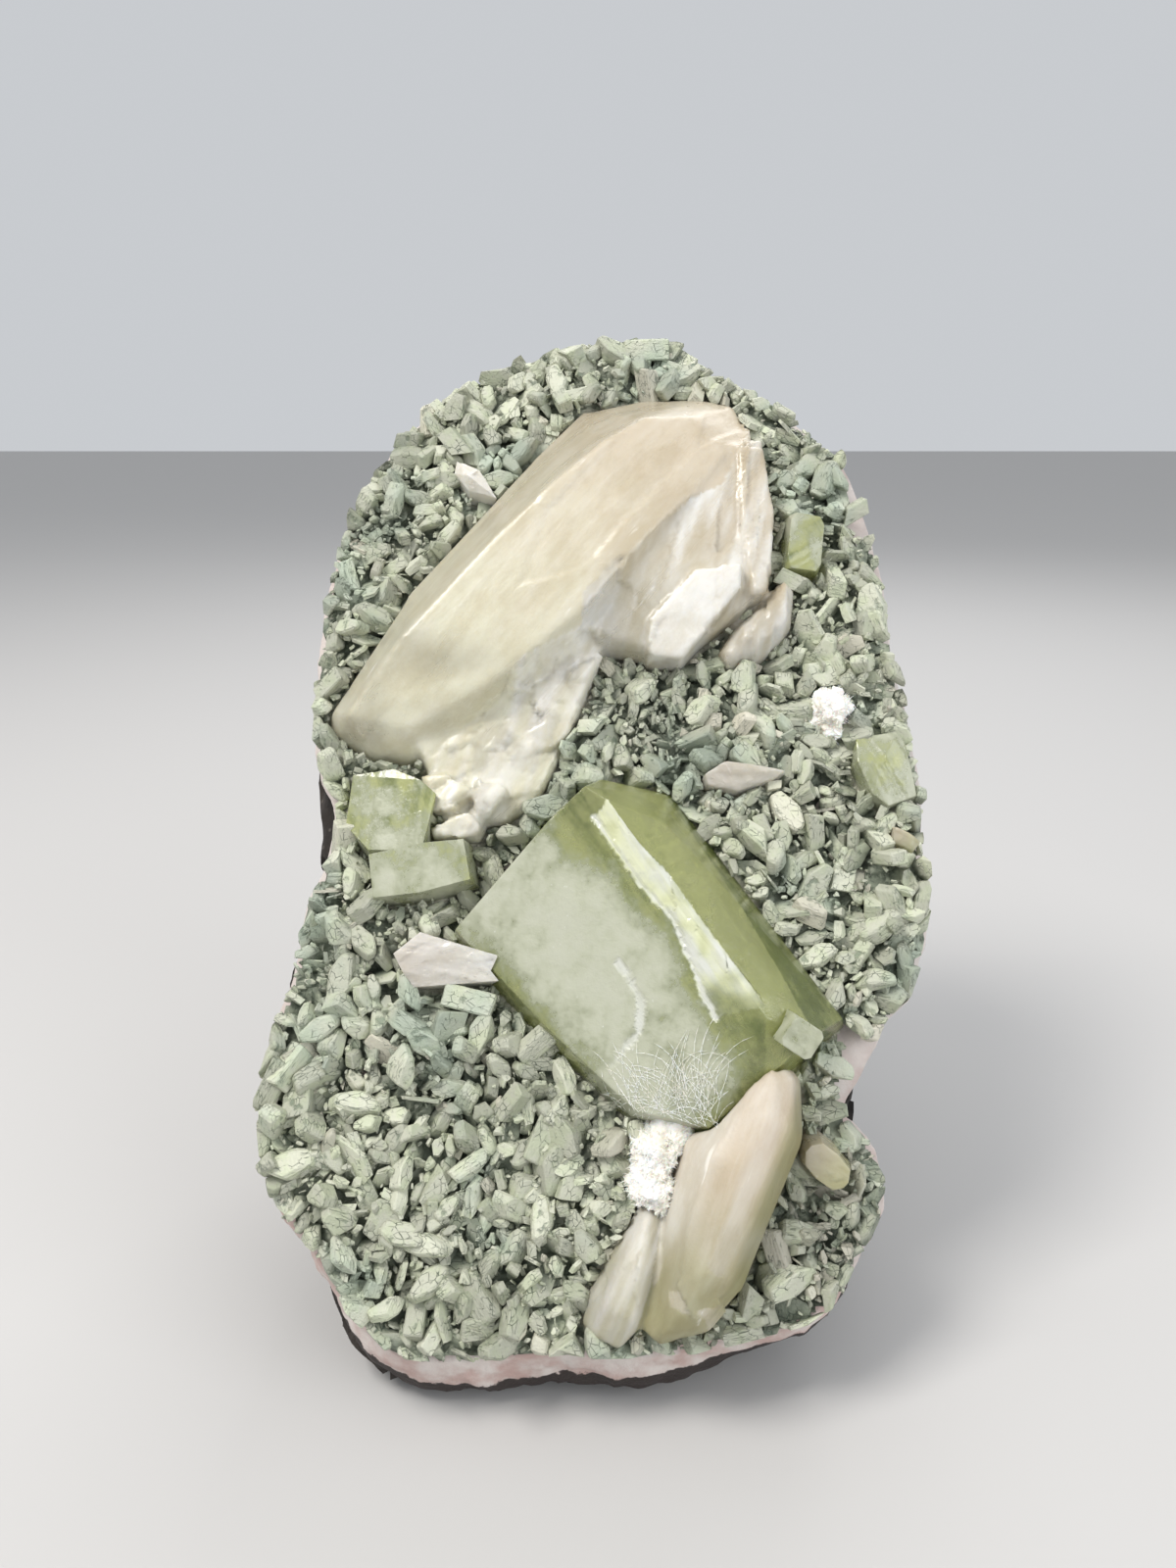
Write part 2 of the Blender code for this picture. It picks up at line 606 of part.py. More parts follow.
def block_corners(length, width, thickness):
    # Apophyllite habit: a square block with its upper corners cut
    high = 0.5 * thickness
    corners = [Vector((x * length, y * width, -high)) for x in (-0.5, 0.5) for y in (-0.5, 0.5)]
    for x in (-0.5, 0.5):
        for y in (-0.5, 0.5):
            corners.append(Vector((x * length, y * width, high * (1.0 - 2.0 * BLOCK_CUT))))
            corners.append(Vector((x * length * (1.0 - BLOCK_CUT), y * width, high)))
            corners.append(Vector((x * length, y * width * (1.0 - BLOCK_CUT), high)))
    return corners


def placed(corners, place, turn, lean=0.0, roll=0.0):
    move = Matrix.Translation(place)
    turn_about = Euler((math.radians(roll), math.radians(lean), math.radians(turn)), "XYZ")
    return [move @ (turn_about.to_matrix() @ p) for p in corners]


def lump_shape(middle, size, seed):
    # A tuft or puff of fine fibres as one rounded, uneven lump on the crust
    bm = bmesh.new()
    bmesh.ops.create_icosphere(bm, subdivisions=2, radius=1.0)
    offset = Vector((seed, seed * 2.0, seed * 3.0))
    for vert in bm.verts:
        swell = 1.0 + LUMP_RELIEF * noise.noise(vert.co * LUMP_GRAIN + offset)
        vert.co = Vector((vert.co.x * size[0], vert.co.y * size[1], vert.co.z * size[2])) * swell
        vert.co += Vector(middle)
    return trimmed(bm, Vector((0.0, 0.0, DRUSE_TOP + GAP)), Vector((0, 0, -1)))


HABITS = {"block": block_corners, "blade": blade_corners}


def make_crystals(materials, frame):
    # Larger crystals first: each later one keeps clear of those before it
    made = [
        fuse("apophyllite_main", [hull(APOPHYLLITE_CORNERS)], materials["apophyllite"], frame),
        fuse(
            "stilbite_sheaf",
            [prism_shape(SHEAF_CORNERS), prism_shape(LOWER_MASS), spine_shape(FAN_EDGE)]
            + [prism_shape(part, SHARD_SPREAD) for part in FAN_PARTS + MASS_PLATES],
            materials["stilbite"], frame),
        fuse(
            "stilbite_bowtie", [spine_shape(BOWTIE_SPINE), spine_shape(BOWTIE_LOBE)],
            materials["stilbite"], frame),
        fuse(
            "apophyllite_left", [prism_shape(block) for block in LEFT_BLOCKS],
            materials["apophyllite"], frame),
    ]
    for name, middle, size, seed in LUMPS:
        made.append(fuse(name, [lump_shape(middle, size, seed)], materials["mordenite"], frame))
    for name, finish, corners in SHARDS:
        made.append(fuse(name, [prism_shape(corners, SHARD_SPREAD)], materials[finish], frame))
    for name, kind, finish, place, size, turn, lean, roll in SMALL_CRYSTALS:
        corners = placed(HABITS[kind](*size), Vector(place), turn, lean, roll)
        made.append(fuse(name, [hull(corners)], materials[finish], frame))
    for i, solid in enumerate(made):
        near = [other for other in made[:i] if boxes_meet(solid, other)]
        if near:
            clear_of(solid, near)
    return made


def box_of(solid):
    points = [v.co for v in solid.data.vertices]
    return [(min(p[k] for p in points), max(p[k] for p in points)) for k in range(3)]


def boxes_meet(one, other):
    margin = 2.0 * GAP * MM
    return all(
        a[0] - margin < b[1] and b[0] - margin < a[1]
        for a, b in zip(box_of(one), box_of(other)))


def inside(outline, point):
    crossings = False
    for (ax, ay), (bx, by) in zip(outline, outline[1:] + outline[:1]):
        if (ay > point[1]) != (by > point[1]):
            if point[0] < ax + (point[1] - ay) * (bx - ax) / (by - ay):
                crossings = not crossings
    return crossings


def covered(point, trees, radius):
    # True where a large crystal stands over this place of the carpet
    down = Vector((0.0, 0.0, -1.0))
    for step in range(CLEARANCE_RAYS + 1):
        angle = step * math.tau / CLEARANCE_RAYS
        reach = radius if step < CLEARANCE_RAYS else 0.0
        start = Vector((
            point[0] + reach * math.cos(angle), point[1] + reach * math.sin(angle), RAY_START)) * MM
        if any(tree.ray_cast(start, down)[0] for tree in trees):
            return True
    return False


def scatter(rng, trees):
    # Even, random places for the carpet's crystals
    field = [tuple(p) for p in grow(FACE_EDGE, -DRUSE_INSET)]
    lows = [min(p[k] for p in field) for k in (0, 1)]
    highs = [max(p[k] for p in field) for k in (0, 1)]
    places = []
    for _ in range(DRUSE_TRIES):
        point = Vector((rng.uniform(lows[0], highs[0]), rng.uniform(lows[1], highs[1])))
        if not inside(field, point) or covered(point, trees, DRUSE_CLEARANCE):
            continue
        if all((point - other).length > DRUSE_SPACING for other in places):
            places.append(point)
    return places


def make_druse(material, frame, crystals):
    rng = random.Random(DRUSE_SEED)
    trees = []
    for solid in crystals:
        bm = bmesh.new()
        bm.from_mesh(solid.data)
        trees.append(BVHTree.FromBMesh(bm))
        bm.free()
    under = [Vector((p[0], p[1], DRUSE_UNDER)) for p in FACE_EDGE]
    top = [
        Vector((p[0], p[1], DRUSE_TOP))
        for p in grow(FACE_EDGE, lambda p: -rng.uniform(*DRUSE_EDGE_STEP))]
    druse = add_solid("heulandite_druse", loft([under, top]), material, frame)
    carpet = bmesh.new()
    for place in scatter(rng, trees):
        length = rng.uniform(*DRUSE_LENGTH)
        width = length * rng.uniform(*DRUSE_WIDTH)
        thickness = length * rng.uniform(*DRUSE_THICKNESS)
        lean = rng.choice((-1, 1)) * rng.uniform(*DRUSE_LEAN)
        roll = rng.uniform(*DRUSE_ROLL)
        rise = DRUSE_TOP + rng.uniform(*DRUSE_RISE)
        corners = placed(
            coffin_corners(length, width, thickness), Vector((place.x, place.y, rise)),
            rng.uniform(0.0, 360.0), lean, roll)
        merge(carpet, trimmed(hull(corners), Vector((0.0, 0.0, DRUSE_ROOT)), Vector((0, 0, -1))))
    tool = add_solid("carpet", carpet, material, frame)
    tool.hide_render = True
    tool.display_type = "WIRE"
    apply_boolean(druse, tool, "UNION", use_self=True)
    bpy.data.objects.remove(tool, do_unlink=True)
    clear_of(druse, [solid for solid in crystals if boxes_meet(solid, druse)], DRUSE_GAP)
    return druse


def main():
    clear_scene()
    materials = {name: make_material(name) for name in MATERIALS}
    frame = make_face_frame()
    make_basalt(materials["basalt"], frame)
    make_layer(materials["chalcedony"], frame)
    crystals = make_crystals(materials, frame)
    make_druse(materials["heulandite"], frame, crystals)


main()
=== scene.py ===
import math
import random

import bmesh
import bpy
import numpy as np
from mathutils import Matrix, Vector
from mathutils.bvhtree import BVHTree


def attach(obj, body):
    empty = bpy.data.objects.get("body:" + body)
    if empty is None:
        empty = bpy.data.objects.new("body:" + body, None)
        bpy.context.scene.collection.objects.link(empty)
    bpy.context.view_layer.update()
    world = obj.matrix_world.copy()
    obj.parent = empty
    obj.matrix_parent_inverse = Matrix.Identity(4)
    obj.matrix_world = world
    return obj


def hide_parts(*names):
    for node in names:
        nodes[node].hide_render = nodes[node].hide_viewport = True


# Heulandite, apophyllite and stilbite on a block of basalt, at rest on a flat cut.
# Lengths on the crystal face are in millimetres: u to the right, v up the face, w out of it.

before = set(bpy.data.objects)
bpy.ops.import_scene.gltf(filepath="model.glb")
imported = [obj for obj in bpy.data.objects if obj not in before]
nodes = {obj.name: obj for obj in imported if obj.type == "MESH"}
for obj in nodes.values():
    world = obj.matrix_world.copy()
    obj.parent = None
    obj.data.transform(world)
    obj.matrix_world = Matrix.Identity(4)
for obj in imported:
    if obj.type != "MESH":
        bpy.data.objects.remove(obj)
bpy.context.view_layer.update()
print("frame loaded:", len(nodes), "nodes")

mm = 0.001
face = {
    "lean": math.radians(33.0), "foot": 13.0, "shift": (-1.8, -41.3), "middle": (1.0, 58.0),
    "above": 80.0}  # a height over the face that clears every crystal
leanTurn = Matrix.Rotation(math.pi / 2 - face["lean"], 4, "X")
faceMatrix = (
    Matrix.Translation([length * mm for length in (*face["shift"], face["foot"])])
    @ leanTurn
    @ Matrix.Scale(mm, 4))
faceInverse = faceMatrix.inverted()
faceTurn, facePlace = np.array(faceMatrix)[:3, :3], np.array(faceMatrix)[:3, 3]
faceTurnBack, facePlaceBack = np.array(faceInverse)[:3, :3], np.array(faceInverse)[:3, 3]
inwards = Vector((0, 0, -1))


def toWorld(points):
    return points @ faceTurn.T + facePlace


def toFace(points):
    return points @ faceTurnBack.T + facePlaceBack


# Small noise tools that work on whole arrays of points

noiseKey = {"axes": (127.1, 311.7, 74.7), "seed": 19.19, "spread": 43758.5453}


def hashed(cells, seed):
    mixed = cells @ np.array(noiseKey["axes"][:cells.shape[1]]) + seed * noiseKey["seed"]
    value = np.sin(mixed) * noiseKey["spread"]
    return value - np.floor(value)


def softNoise(points, size, seed=0):
    # Smooth value noise from -1 to 1
    scaled = np.asarray(points, float) / size
    low = np.floor(scaled)
    part = scaled - low
    part = part * part * (3 - 2 * part)
    total = np.zeros(len(scaled))
    axes = scaled.shape[1]
    for corner in range(2 ** axes):
        step = np.array([(corner >> k) & 1 for k in range(axes)], float)
        weight = np.prod(np.where(step > 0, part, 1 - part), axis=1)
        total += weight * hashed(low + step, seed)
    return total * 2 - 1


def layeredNoise(points, size, seed=0, layers=3, falloff=0.5):
    total = np.zeros(len(points))
    for k in range(layers):
        total += softNoise(points, size * 0.5 ** k, seed + k) * falloff ** k
    return total


def cellFacets(points, size, seed=0, tilt=0.3):
    # Flat chips: each random cell is its own small tilted plane
    flat = np.asarray(points, float) / size
    low = np.floor(flat)
    axes = range(flat.shape[1])
    best = np.full(len(flat), np.inf)
    height = np.zeros(len(flat))
    for index in np.ndindex(*([3] * len(axes))):
        cell = low + np.array(index, float) - 1
        jitter = np.stack([hashed(cell, seed + 11 * k + 1) for k in axes], 1)
        slope = np.stack([hashed(cell, seed + 7 * k + 50) - 0.5 for k in axes], 1)
        away = flat - (cell + jitter)
        distance = (away ** 2).sum(1)
        nearer = distance < best
        best = np.where(nearer, distance, best)
        height = np.where(nearer, (away * slope).sum(1) * 2 * tilt * size, height)
    return height


def ramp(x, low, high):
    part = np.clip((np.asarray(x, float) - low) / (high - low), 0, 1)
    return part * part * (3 - 2 * part)


def alongAcross(points, degrees, origin=(0.0, 0.0)):
    # Distances along a direction that lies in the face, and to the left of it
    away = points[:, :2] - np.array(origin)
    c, s = math.cos(math.radians(degrees)), math.sin(math.radians(degrees))
    return away[:, 0] * c + away[:, 1] * s, away[:, 1] * c - away[:, 0] * s


def flatPlates(points, seed, size, tilt, turn, stretch=1.0):
    # Facets of thin plates stacked side by side, longer along the grain
    along, across = alongAcross(points, turn)
    return cellFacets(np.column_stack([along / stretch, across]), size, seed, tilt)


# Mesh helpers

def dress(piece, material):
    piece.data.materials.clear()
    piece.data.materials.append(material)
    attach(piece, "root")
    return piece


def addMesh(name, verts, faces, material, smooth=False):
    # verts in face millimetres; faces is an array of triangles or quads
    corners = np.asarray(faces, np.int32)
    mesh = bpy.data.meshes.new(name)
    mesh.vertices.add(len(verts))
    mesh.vertices.foreach_set("co", toWorld(np.asarray(verts, float)).astype(np.float32).ravel())
    mesh.loops.add(corners.size)
    mesh.loops.foreach_set("vertex_index", corners.ravel())
    mesh.polygons.add(len(corners))
    mesh.polygons.foreach_set("loop_start", np.arange(0, corners.size, corners.shape[1], dtype=np.int32))
    mesh.update(calc_edges=True)
    mesh.validate()
    mesh.polygons.foreach_set("use_smooth", np.full(len(mesh.polygons), smooth))
    piece = bpy.data.objects.new(name, mesh)
    bpy.context.scene.collection.objects.link(piece)
    return dress(piece, material)


def finish(piece, nodeName, material, smooth=True):
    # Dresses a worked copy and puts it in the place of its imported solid
    polygons = piece.data.polygons
    polygons.foreach_set("use_smooth", np.full(len(polygons), smooth))
    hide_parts(nodeName)
    return dress(piece, material)


def setNumbers(piece, name, kind, field, values):
    # Writes numbers for each point, which the materials read by their name
    attribute = piece.data.attributes.new(name, kind, "POINT")
    attribute.data.foreach_set(field, np.asarray(values, np.float32).ravel())


def setTone(piece, *channels):
    values = np.zeros((len(piece.data.vertices), 4))
    for k, channel in enumerate(channels):
        values[:, k] = channel
    values[:, 3] = 1
    setNumbers(piece, "tone", "FLOAT_COLOR", "color", values)


def refine(nodeName, name, voxel, rounds):
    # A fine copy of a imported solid, ready to be worked into its real surface
    piece = bpy.data.objects.new(name, nodes[nodeName].data.copy())
    bpy.context.scene.collection.objects.link(piece)
    remesh = piece.modifiers.new("remesh", "REMESH")
    remesh.mode = "VOXEL"
    remesh.voxel_size = voxel * mm
    soften = piece.modifiers.new("soften", "SMOOTH")
    soften.factor = 0.5
    soften.iterations = rounds
    mesh = bpy.data.meshes.new_from_object(piece.evaluated_get(bpy.context.evaluated_depsgraph_get()))
    piece.modifiers.clear()
    piece.data = mesh
    return piece


def finePolygons(nodeName, bevel, edge):
    # The points of a packed block with softened edges and faces cut into small triangles
    bm = bmesh.new()
    bm.from_mesh(nodes[nodeName].data)
    bm.transform(faceInverse)
    bmesh.ops.remove_doubles(bm, verts=bm.verts, dist=0.001)
    bmesh.ops.dissolve_limit(bm, angle_limit=0.02, verts=bm.verts, edges=bm.edges)
    bmesh.ops.bevel(
        bm, geom=bm.edges[:], offset=bevel, segments=2, profile=0.6, affect="EDGES", clamp_overlap=True)
    bmesh.ops.triangulate(bm, faces=bm.faces)
    for _ in range(7):
        long = [e for e in bm.edges if e.calc_length() > edge]
        if not long:
            break
        bmesh.ops.subdivide_edges(bm, edges=long, cuts=1, use_grid_fill=True)
        bmesh.ops.triangulate(bm, faces=bm.faces)
    bmesh.ops.recalc_face_normals(bm, faces=bm.faces)
    return meshArrays(bm)


def meshArrays(bm):
    verts = np.array([v.co for v in bm.verts])
    faces = np.array([[v.index for v in f.verts] for f in bm.faces])
    bm.free()
    return verts, faces


def pointsOf(piece):
    co = np.zeros(len(piece.data.vertices) * 3, np.float32)
    normals = np.zeros_like(co)
    piece.data.vertices.foreach_get("co", co)
    piece.data.vertex_normals.foreach_get("vector", normals)
    co, normals = (values.reshape(-1, 3).astype(float) for values in (co, normals))
    return toFace(co), normals @ (faceTurnBack.T * mm)


def movePoints(piece, points):
    piece.data.vertices.foreach_set("co", toWorld(points).astype(np.float32).ravel())
    piece.data.update()


def faceTree(*names):
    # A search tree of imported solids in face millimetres
    verts, faces = [], []
    for name in names:
        mesh = nodes[name].data
        start = len(verts)
        verts += [faceInverse @ v.co for v in mesh.vertices]
        faces += [[start + i for i in p.vertices] for p in mesh.polygons]
    return BVHTree.FromPolygons(verts, faces)


# The rim of the crystal face, as a closed loop of even steps

def faceOutline():
    # Read from the upper edge of the chalcedony layer
    points = toFace(np.array([v.co for v in nodes["chalcedony_layer"].data.vertices]))
    rim = points[points[:, 2] > points[:, 2].max() - 0.02][:, :2]
    rim = np.unique(rim.round(3), axis=0)
    away = rim - np.array(face["middle"])
    return rim[np.argsort(-np.arctan2(away[:, 1], away[:, 0]))]


def smoothLoop(points, count):
    # A closed smooth curve through points, at even steps
    n = len(points)
    fine = []
    for i in range(n):
        a, b, c, d = (points[(i + k - 1) % n] for k in range(4))
        for t in np.linspace(0, 1, 12, endpoint=False):
            fine.append(0.5 * (
                2 * b + (c - a) * t + (2 * a - 5 * b + 4 * c - d) * t ** 2
                + (3 * b - a - 3 * c + d) * t ** 3))
    fine = np.array(fine + [fine[0]])
    length = np.concatenate([[0], np.cumsum(np.linalg.norm(np.diff(fine, axis=0), axis=1))])
    wanted = np.linspace(0, length[-1], count, endpoint=False)
    return np.stack([np.interp(wanted, length, fine[:, k]) for k in (0, 1)], 1)


def insideLoop(loop, points):
    x, y = points[:, 0], points[:, 1]
    result = np.zeros(len(points), bool)
    ax, ay = np.array(loop).T
    bx, by = np.roll(ax, -1), np.roll(ay, -1)
    for i in range(len(ax)):
        crosses = (ay[i] > y) != (by[i] > y)
        with np.errstate(divide="ignore", invalid="ignore"):
            edge = ax[i] + (y - ay[i]) * (bx[i] - ax[i]) / (by[i] - ay[i])
        result ^= crosses & (x < edge)
    return result


def rimDistance(points, every):
    return np.linalg.norm(points[:, None, :] - rimLoop[None, ::every, :], axis=2).min(1)


rimLoop = smoothLoop(faceOutline(), 720)
rimOutwards = np.stack([
    np.roll(rimLoop[:, 1], 1) - np.roll(rimLoop[:, 1], -1),
    np.roll(rimLoop[:, 0], -1) - np.roll(rimLoop[:, 0], 1)], 1)
rimOutwards /= np.linalg.norm(rimOutwards, axis=1)[:, None]
if ((rimLoop - np.array(face["middle"])) * rimOutwards).sum(1).mean() < 0:
    rimOutwards = -rimOutwards


def grainTurn(degrees):
    # Turns object space so that its X runs along a direction that lies in the crystal face
    return tuple((leanTurn @ Matrix.Rotation(math.radians(degrees), 4, "Z")).to_euler())


class Surface:
    # A material in the making: each step adds a node and gives back its output.
    # A noise is scale, detail and roughness; patches add the ends of a ramp and its values there.

    def __init__(self, name, values):
        self.material = bpy.data.materials.new(name)
        self.material.use_nodes = True
        self.tree = self.material.node_tree
        for key, value in values.items():
            self.put(key, value)

    def fill(self, socket, value):
        # A socket takes another node's output or a plain value
        if isinstance(value, bpy.types.NodeSocket):
            self.tree.links.new(value, socket)
        else:
            socket.default_value = (*value, 1.0) if socket.type == "RGBA" else value

    def put(self, key, value):
        self.fill(self.tree.nodes["Principled BSDF"].inputs[key], value)

    def add(self, kind, **settings):
        made = self.tree.nodes.new(kind)
        for key, value in settings.items():
            if key in made.inputs:
                self.fill(made.inputs[key], value)
            else:
                setattr(made, key, value)
        return made

    def place(self):
        return self.add("ShaderNodeTexCoord").outputs["Object"]

    def mapped(self, vector, scale, kind="POINT", turn=(0, 0, 0)):
        made = self.add("ShaderNodeMapping", vector_type=kind, Rotation=turn, Scale=scale, Vector=vector)
        return made.outputs["Vector"]

    def along(self, degrees, length):
        # Object space stretched along a grain that lies in the crystal face
        return self.mapped(self.place(), (length, 1.0, 1.0), "TEXTURE", grainTurn(degrees))

    def noise(self, scale, detail=4.0, rough=0.55, vector=None):
        vector = self.place() if vector is None else vector
        return self.add(
            "ShaderNodeTexNoise", Scale=scale, Detail=detail, Roughness=rough, Vector=vector).outputs["Fac"]

    def cells(self, scale, feature, vector=None):
        vector = self.place() if vector is None else vector
        made = self.add("ShaderNodeTexVoronoi", Scale=scale, feature=feature, Vector=vector)
        return made.outputs["Distance"]

    def ramp(self, source, low, high, start=0.0, end=1.0):
        made = self.add("ShaderNodeMapRange", interpolation_type="SMOOTHSTEP")
        for socket, value in zip(made.inputs, (source, low, high, start, end)):
            self.fill(socket, value)
        return made.outputs["Result"]

    def patches(self, scale, detail, rough, *ends):
        return self.ramp(self.noise(scale, detail, rough), *ends)

    def mix(self, amount, first, second, mode="MIX"):
        made = self.add("ShaderNodeMix", data_type="RGBA", blend_type=mode)
        for index, value in ((0, amount), (6, first), (7, second)):
            self.fill(made.inputs[index], value)
        return made.outputs[2]

    def maths(self, operation, first, second):
        made = self.add("ShaderNodeMath", operation=operation)
        self.fill(made.inputs[0], first)
        self.fill(made.inputs[1], second)
        return made.outputs[0]

    def times(self, first, second):
        return self.maths("MULTIPLY", first, second)

    def plus(self, first, second):
        return self.maths("ADD", first, second)

    def tones(self):
        tone = self.add("ShaderNodeAttribute", attribute_name="tone").outputs["Color"]
        return self.add("ShaderNodeSeparateColor", Color=tone).outputs[:3]

    def bump(self, height, strength, distance):
        made = self.add("ShaderNodeBump", Strength=strength, Distance=distance, Height=height)
        self.put("Normal", made.outputs["Normal"])


# Camera, at the photograph's viewing angle

camera = {"place": (-1.8, -160.95, 122.77), "pitch": 18.0, "lens": 27.04, "sensor": 36.0, "near": 0.005}


def addCamera():
    data = bpy.data.cameras.new("camera")
    data.lens = camera["lens"]
    data.sensor_width = camera["sensor"]
    data.clip_start = camera["near"]
    eye = bpy.data.objects.new("camera", data)
    eye.location = Vector(camera["place"]) * mm
    eye.rotation_euler = (math.radians(90.0 - camera["pitch"]), 0.0, 0.0)
    bpy.context.scene.collection.objects.link(eye)
    bpy.context.scene.camera = eye


addCamera()
print("camera placed")


# Basalt: dark broken rock with rust-brown spots

basalt = {
    "voxel": 1.25, "chips": ((15.0, 5, 0.30), (6.0, 6, 0.26)), "grain": (2.6, 31, 2), "grainHeight": 0.35,
    "reach": (-2.4, 1.6), "cut": (0.0002, 0.004), "underLayer": (3.0, 9.0),
    "dark": (0.018, 0.016, 0.015), "mid": (0.060, 0.050, 0.043), "rust": (0.150, 0.050, 0.022),
    "dust": (0.170, 0.150, 0.130), "specular": 0.28, "patches": (70.0, 6.0, 0.55, 0.35, 0.68),
    "rustSpots": (42.0, 5.0, 0.62, 0.60, 0.72, 0.0, 0.75), "specks": 520.0,
    "speckRamp": (0.22, 0.10, 0.0, 0.5), "gloss": (300.0, 4.0, 0.55, 0.3, 0.7, 0.78, 0.98),
    "grit": (900.0, 6.0, 0.7), "bump": (0.7, 0.0006)}


def basaltMaterial():
    skin = Surface("basaltRock", {"Specular IOR Level": basalt["specular"]})
    colour = skin.mix(skin.patches(*basalt["patches"]), basalt["dark"], basalt["mid"])
    colour = skin.mix(skin.patches(*basalt["rustSpots"]), colour, basalt["rust"])
    specks = skin.ramp(skin.cells(basalt["specks"], "F1"), *basalt["speckRamp"])
    skin.put("Base Color", skin.mix(specks, colour, basalt["dust"]))
    skin.put("Roughness", skin.patches(*basalt["gloss"]))
    skin.bump(skin.noise(*basalt["grit"]), *basalt["bump"])
    return skin.material


def makeBasalt():
    piece = refine("basalt_matrix", "basaltMatrix", basalt["voxel"], 1)
    points, normals = pointsOf(piece)
    push = sum(cellFacets(points, size, seed, tilt) for size, seed, tilt in basalt["chips"])
    push += layeredNoise(points, *basalt["grain"]) * basalt["grainHeight"]
    # The cut below stays flat, and the upper edge stays under the layer above it
    keep = ramp(toWorld(points)[:, 2], *basalt["cut"]) * ramp(-points[:, 2], *basalt["underLayer"])
    world = toWorld(points + normals * np.clip(push * keep, *basalt["reach"])[:, None])
    world[:, 2] = np.maximum(world[:, 2], 0.0)
    movePoints(piece, toFace(world))
    return finish(piece, "basalt_matrix", basaltMaterial(), False)


makeBasalt()
print("basalt made")


# Chalcedony: the pinkish layer that shows as a band along the edge

layer = {
    "rows": 26, "top": -0.2, "thin": 2.4, "thick": 5.4, "notch": (35.0, 26.0), "notchSize": 12.0,
    "slopeFoot": 0.86, "slopeTop": 0.06, "lumps": 0.55, "overlap": 0.9, "tuck": 4.0, "bulge": 0.25,
    "pink": (0.50, 0.355, 0.320), "white": (0.66, 0.60, 0.56), "stain": (0.030, 0.022, 0.020),
    "roughness": 0.55, "specular": 0.4, "cloud": (240.0, 5.0, 0.55, 0.34, 0.66),
    "ragged": (330.0, 6.0, 0.7), "raggedShare": 0.8, "stainAndShadowRamp": (0.98, 1.06),
    "grit": (1300.0, 5.0, 0.65), "bump": (0.45, 0.0004)}


def layerDepth(points):
    low = ramp(32.0 - points[:, 1], 0, 34)
    away = np.linalg.norm(points - np.array(layer["notch"]), axis=1)
    notch = ramp(1.6 - away / layer["notchSize"], 0, 1)
    return layer["thin"] + (layer["thick"] - layer["thin"]) * np.maximum(low, notch)


def sideSlope(points):
    low = ramp(16.0 - points[:, 1], 0, 19)
    left = 0.45 + 0.55 * ramp(points[:, 0] + 38.0, 0, 22)
    right = 1.0 - 0.62 * ramp(points[:, 0] - 8.0, 0, 16)
    return layer["slopeTop"] + (layer["slopeFoot"] - layer["slopeTop"]) * low * np.minimum(left, right)


def layerMaterial():
    skin = Surface("chalcedonyLayer", {
        "Roughness": layer["roughness"], "Specular IOR Level": layer["specular"]})
    stainAndShadowShare, _, pinkness = skin.tones()
    colour = skin.mix(skin.times(skin.patches(*layer["cloud"]), pinkness), layer["white"], layer["pink"])
    # The band turns dark where the rock's stain reaches it, and at the lower right as painted shadow
    ragged = skin.plus(stainAndShadowShare, skin.times(skin.noise(*layer["ragged"]), layer["raggedShare"]))
    skin.put("Base Color", skin.mix(skin.ramp(ragged, *layer["stainAndShadowRamp"]), colour, layer["stain"]))
    skin.bump(skin.noise(*layer["grit"]), *layer["bump"])
    return skin.material


def makeLayer():
    count = len(rimLoop)
    depth, slope = layerDepth(rimLoop), sideSlope(rimLoop)
    ragged = layeredNoise(rimLoop, 5.0, 61, 4, 0.6)
    # The rock's dark stain creeps up the band, and the lower right is painted darker still as shadow
    stainAndShadowShare = (0.12 + 0.40 * ramp(rimLoop[:, 0], -4, 8)) * ramp(rimLoop[:, 1], 24, 12)
    rings, tones = [], []
    for row in range(layer["rows"] + 1):
        share = row / layer["rows"]
        down = share * (depth + layer["overlap"] * (0.3 + np.clip(ragged, -0.4, 1.0)))
        spread = slope * down + layer["bulge"] * np.sin(share * math.pi) + 0.12
        place = np.column_stack([rimLoop + rimOutwards * spread[:, None], layer["top"] - down])
        lumps = layeredNoise(place, 3.4, 71, 3) * layer["lumps"] * np.sin(math.pi * (0.06 + 0.88 * share))
        place[:, :2] += rimOutwards * (lumps - 0.9 * ramp(share, 0.86, 1.0))[:, None]
        rings.append(place)
        tones.append(0.25 + 0.75 * ramp(share, 0.35, 1.0) + stainAndShadowShare * ramp(share, 0.2, 0.6))
    inner = rings[0].copy()
    inner[:, :2] -= rimOutwards * layer["tuck"]
    verts = np.concatenate([inner] + rings)
    # Both open ends of the band are closed, because the layer goes on below the crystals
    end, first, last = len(verts) - count, len(verts), len(verts) + 1
    verts = np.concatenate([verts, [verts[:count].mean(0), verts[end:].mean(0)]])
    index = np.arange(count)
    after = (index + 1) % count
    band = np.concatenate([
        np.stack([a + count + index, a + count + after, a + after, a + index], 1)
        for a in range(0, end, count)])
    corners = np.concatenate([
        band[:, [0, 1, 2]], band[:, [0, 2, 3]],
        np.stack([index, after, np.full(count, first)], 1),
        np.stack([end + after, end + index, np.full(count, last)], 1)])
    piece = addMesh("chalcedonyLayer", verts, corners, layerMaterial(), True)
    pink = np.clip(0.35 + 0.65 * ramp(40.0 - verts[:, 1], 0, 40) + 0.3 * softNoise(verts, 9.0, 3), 0, 1)
    setTone(piece, np.concatenate([np.zeros(count)] + tones + [np.zeros(2)]), 0.0, pink)
    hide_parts("chalcedony_layer")


makeLayer()
print("layer made")
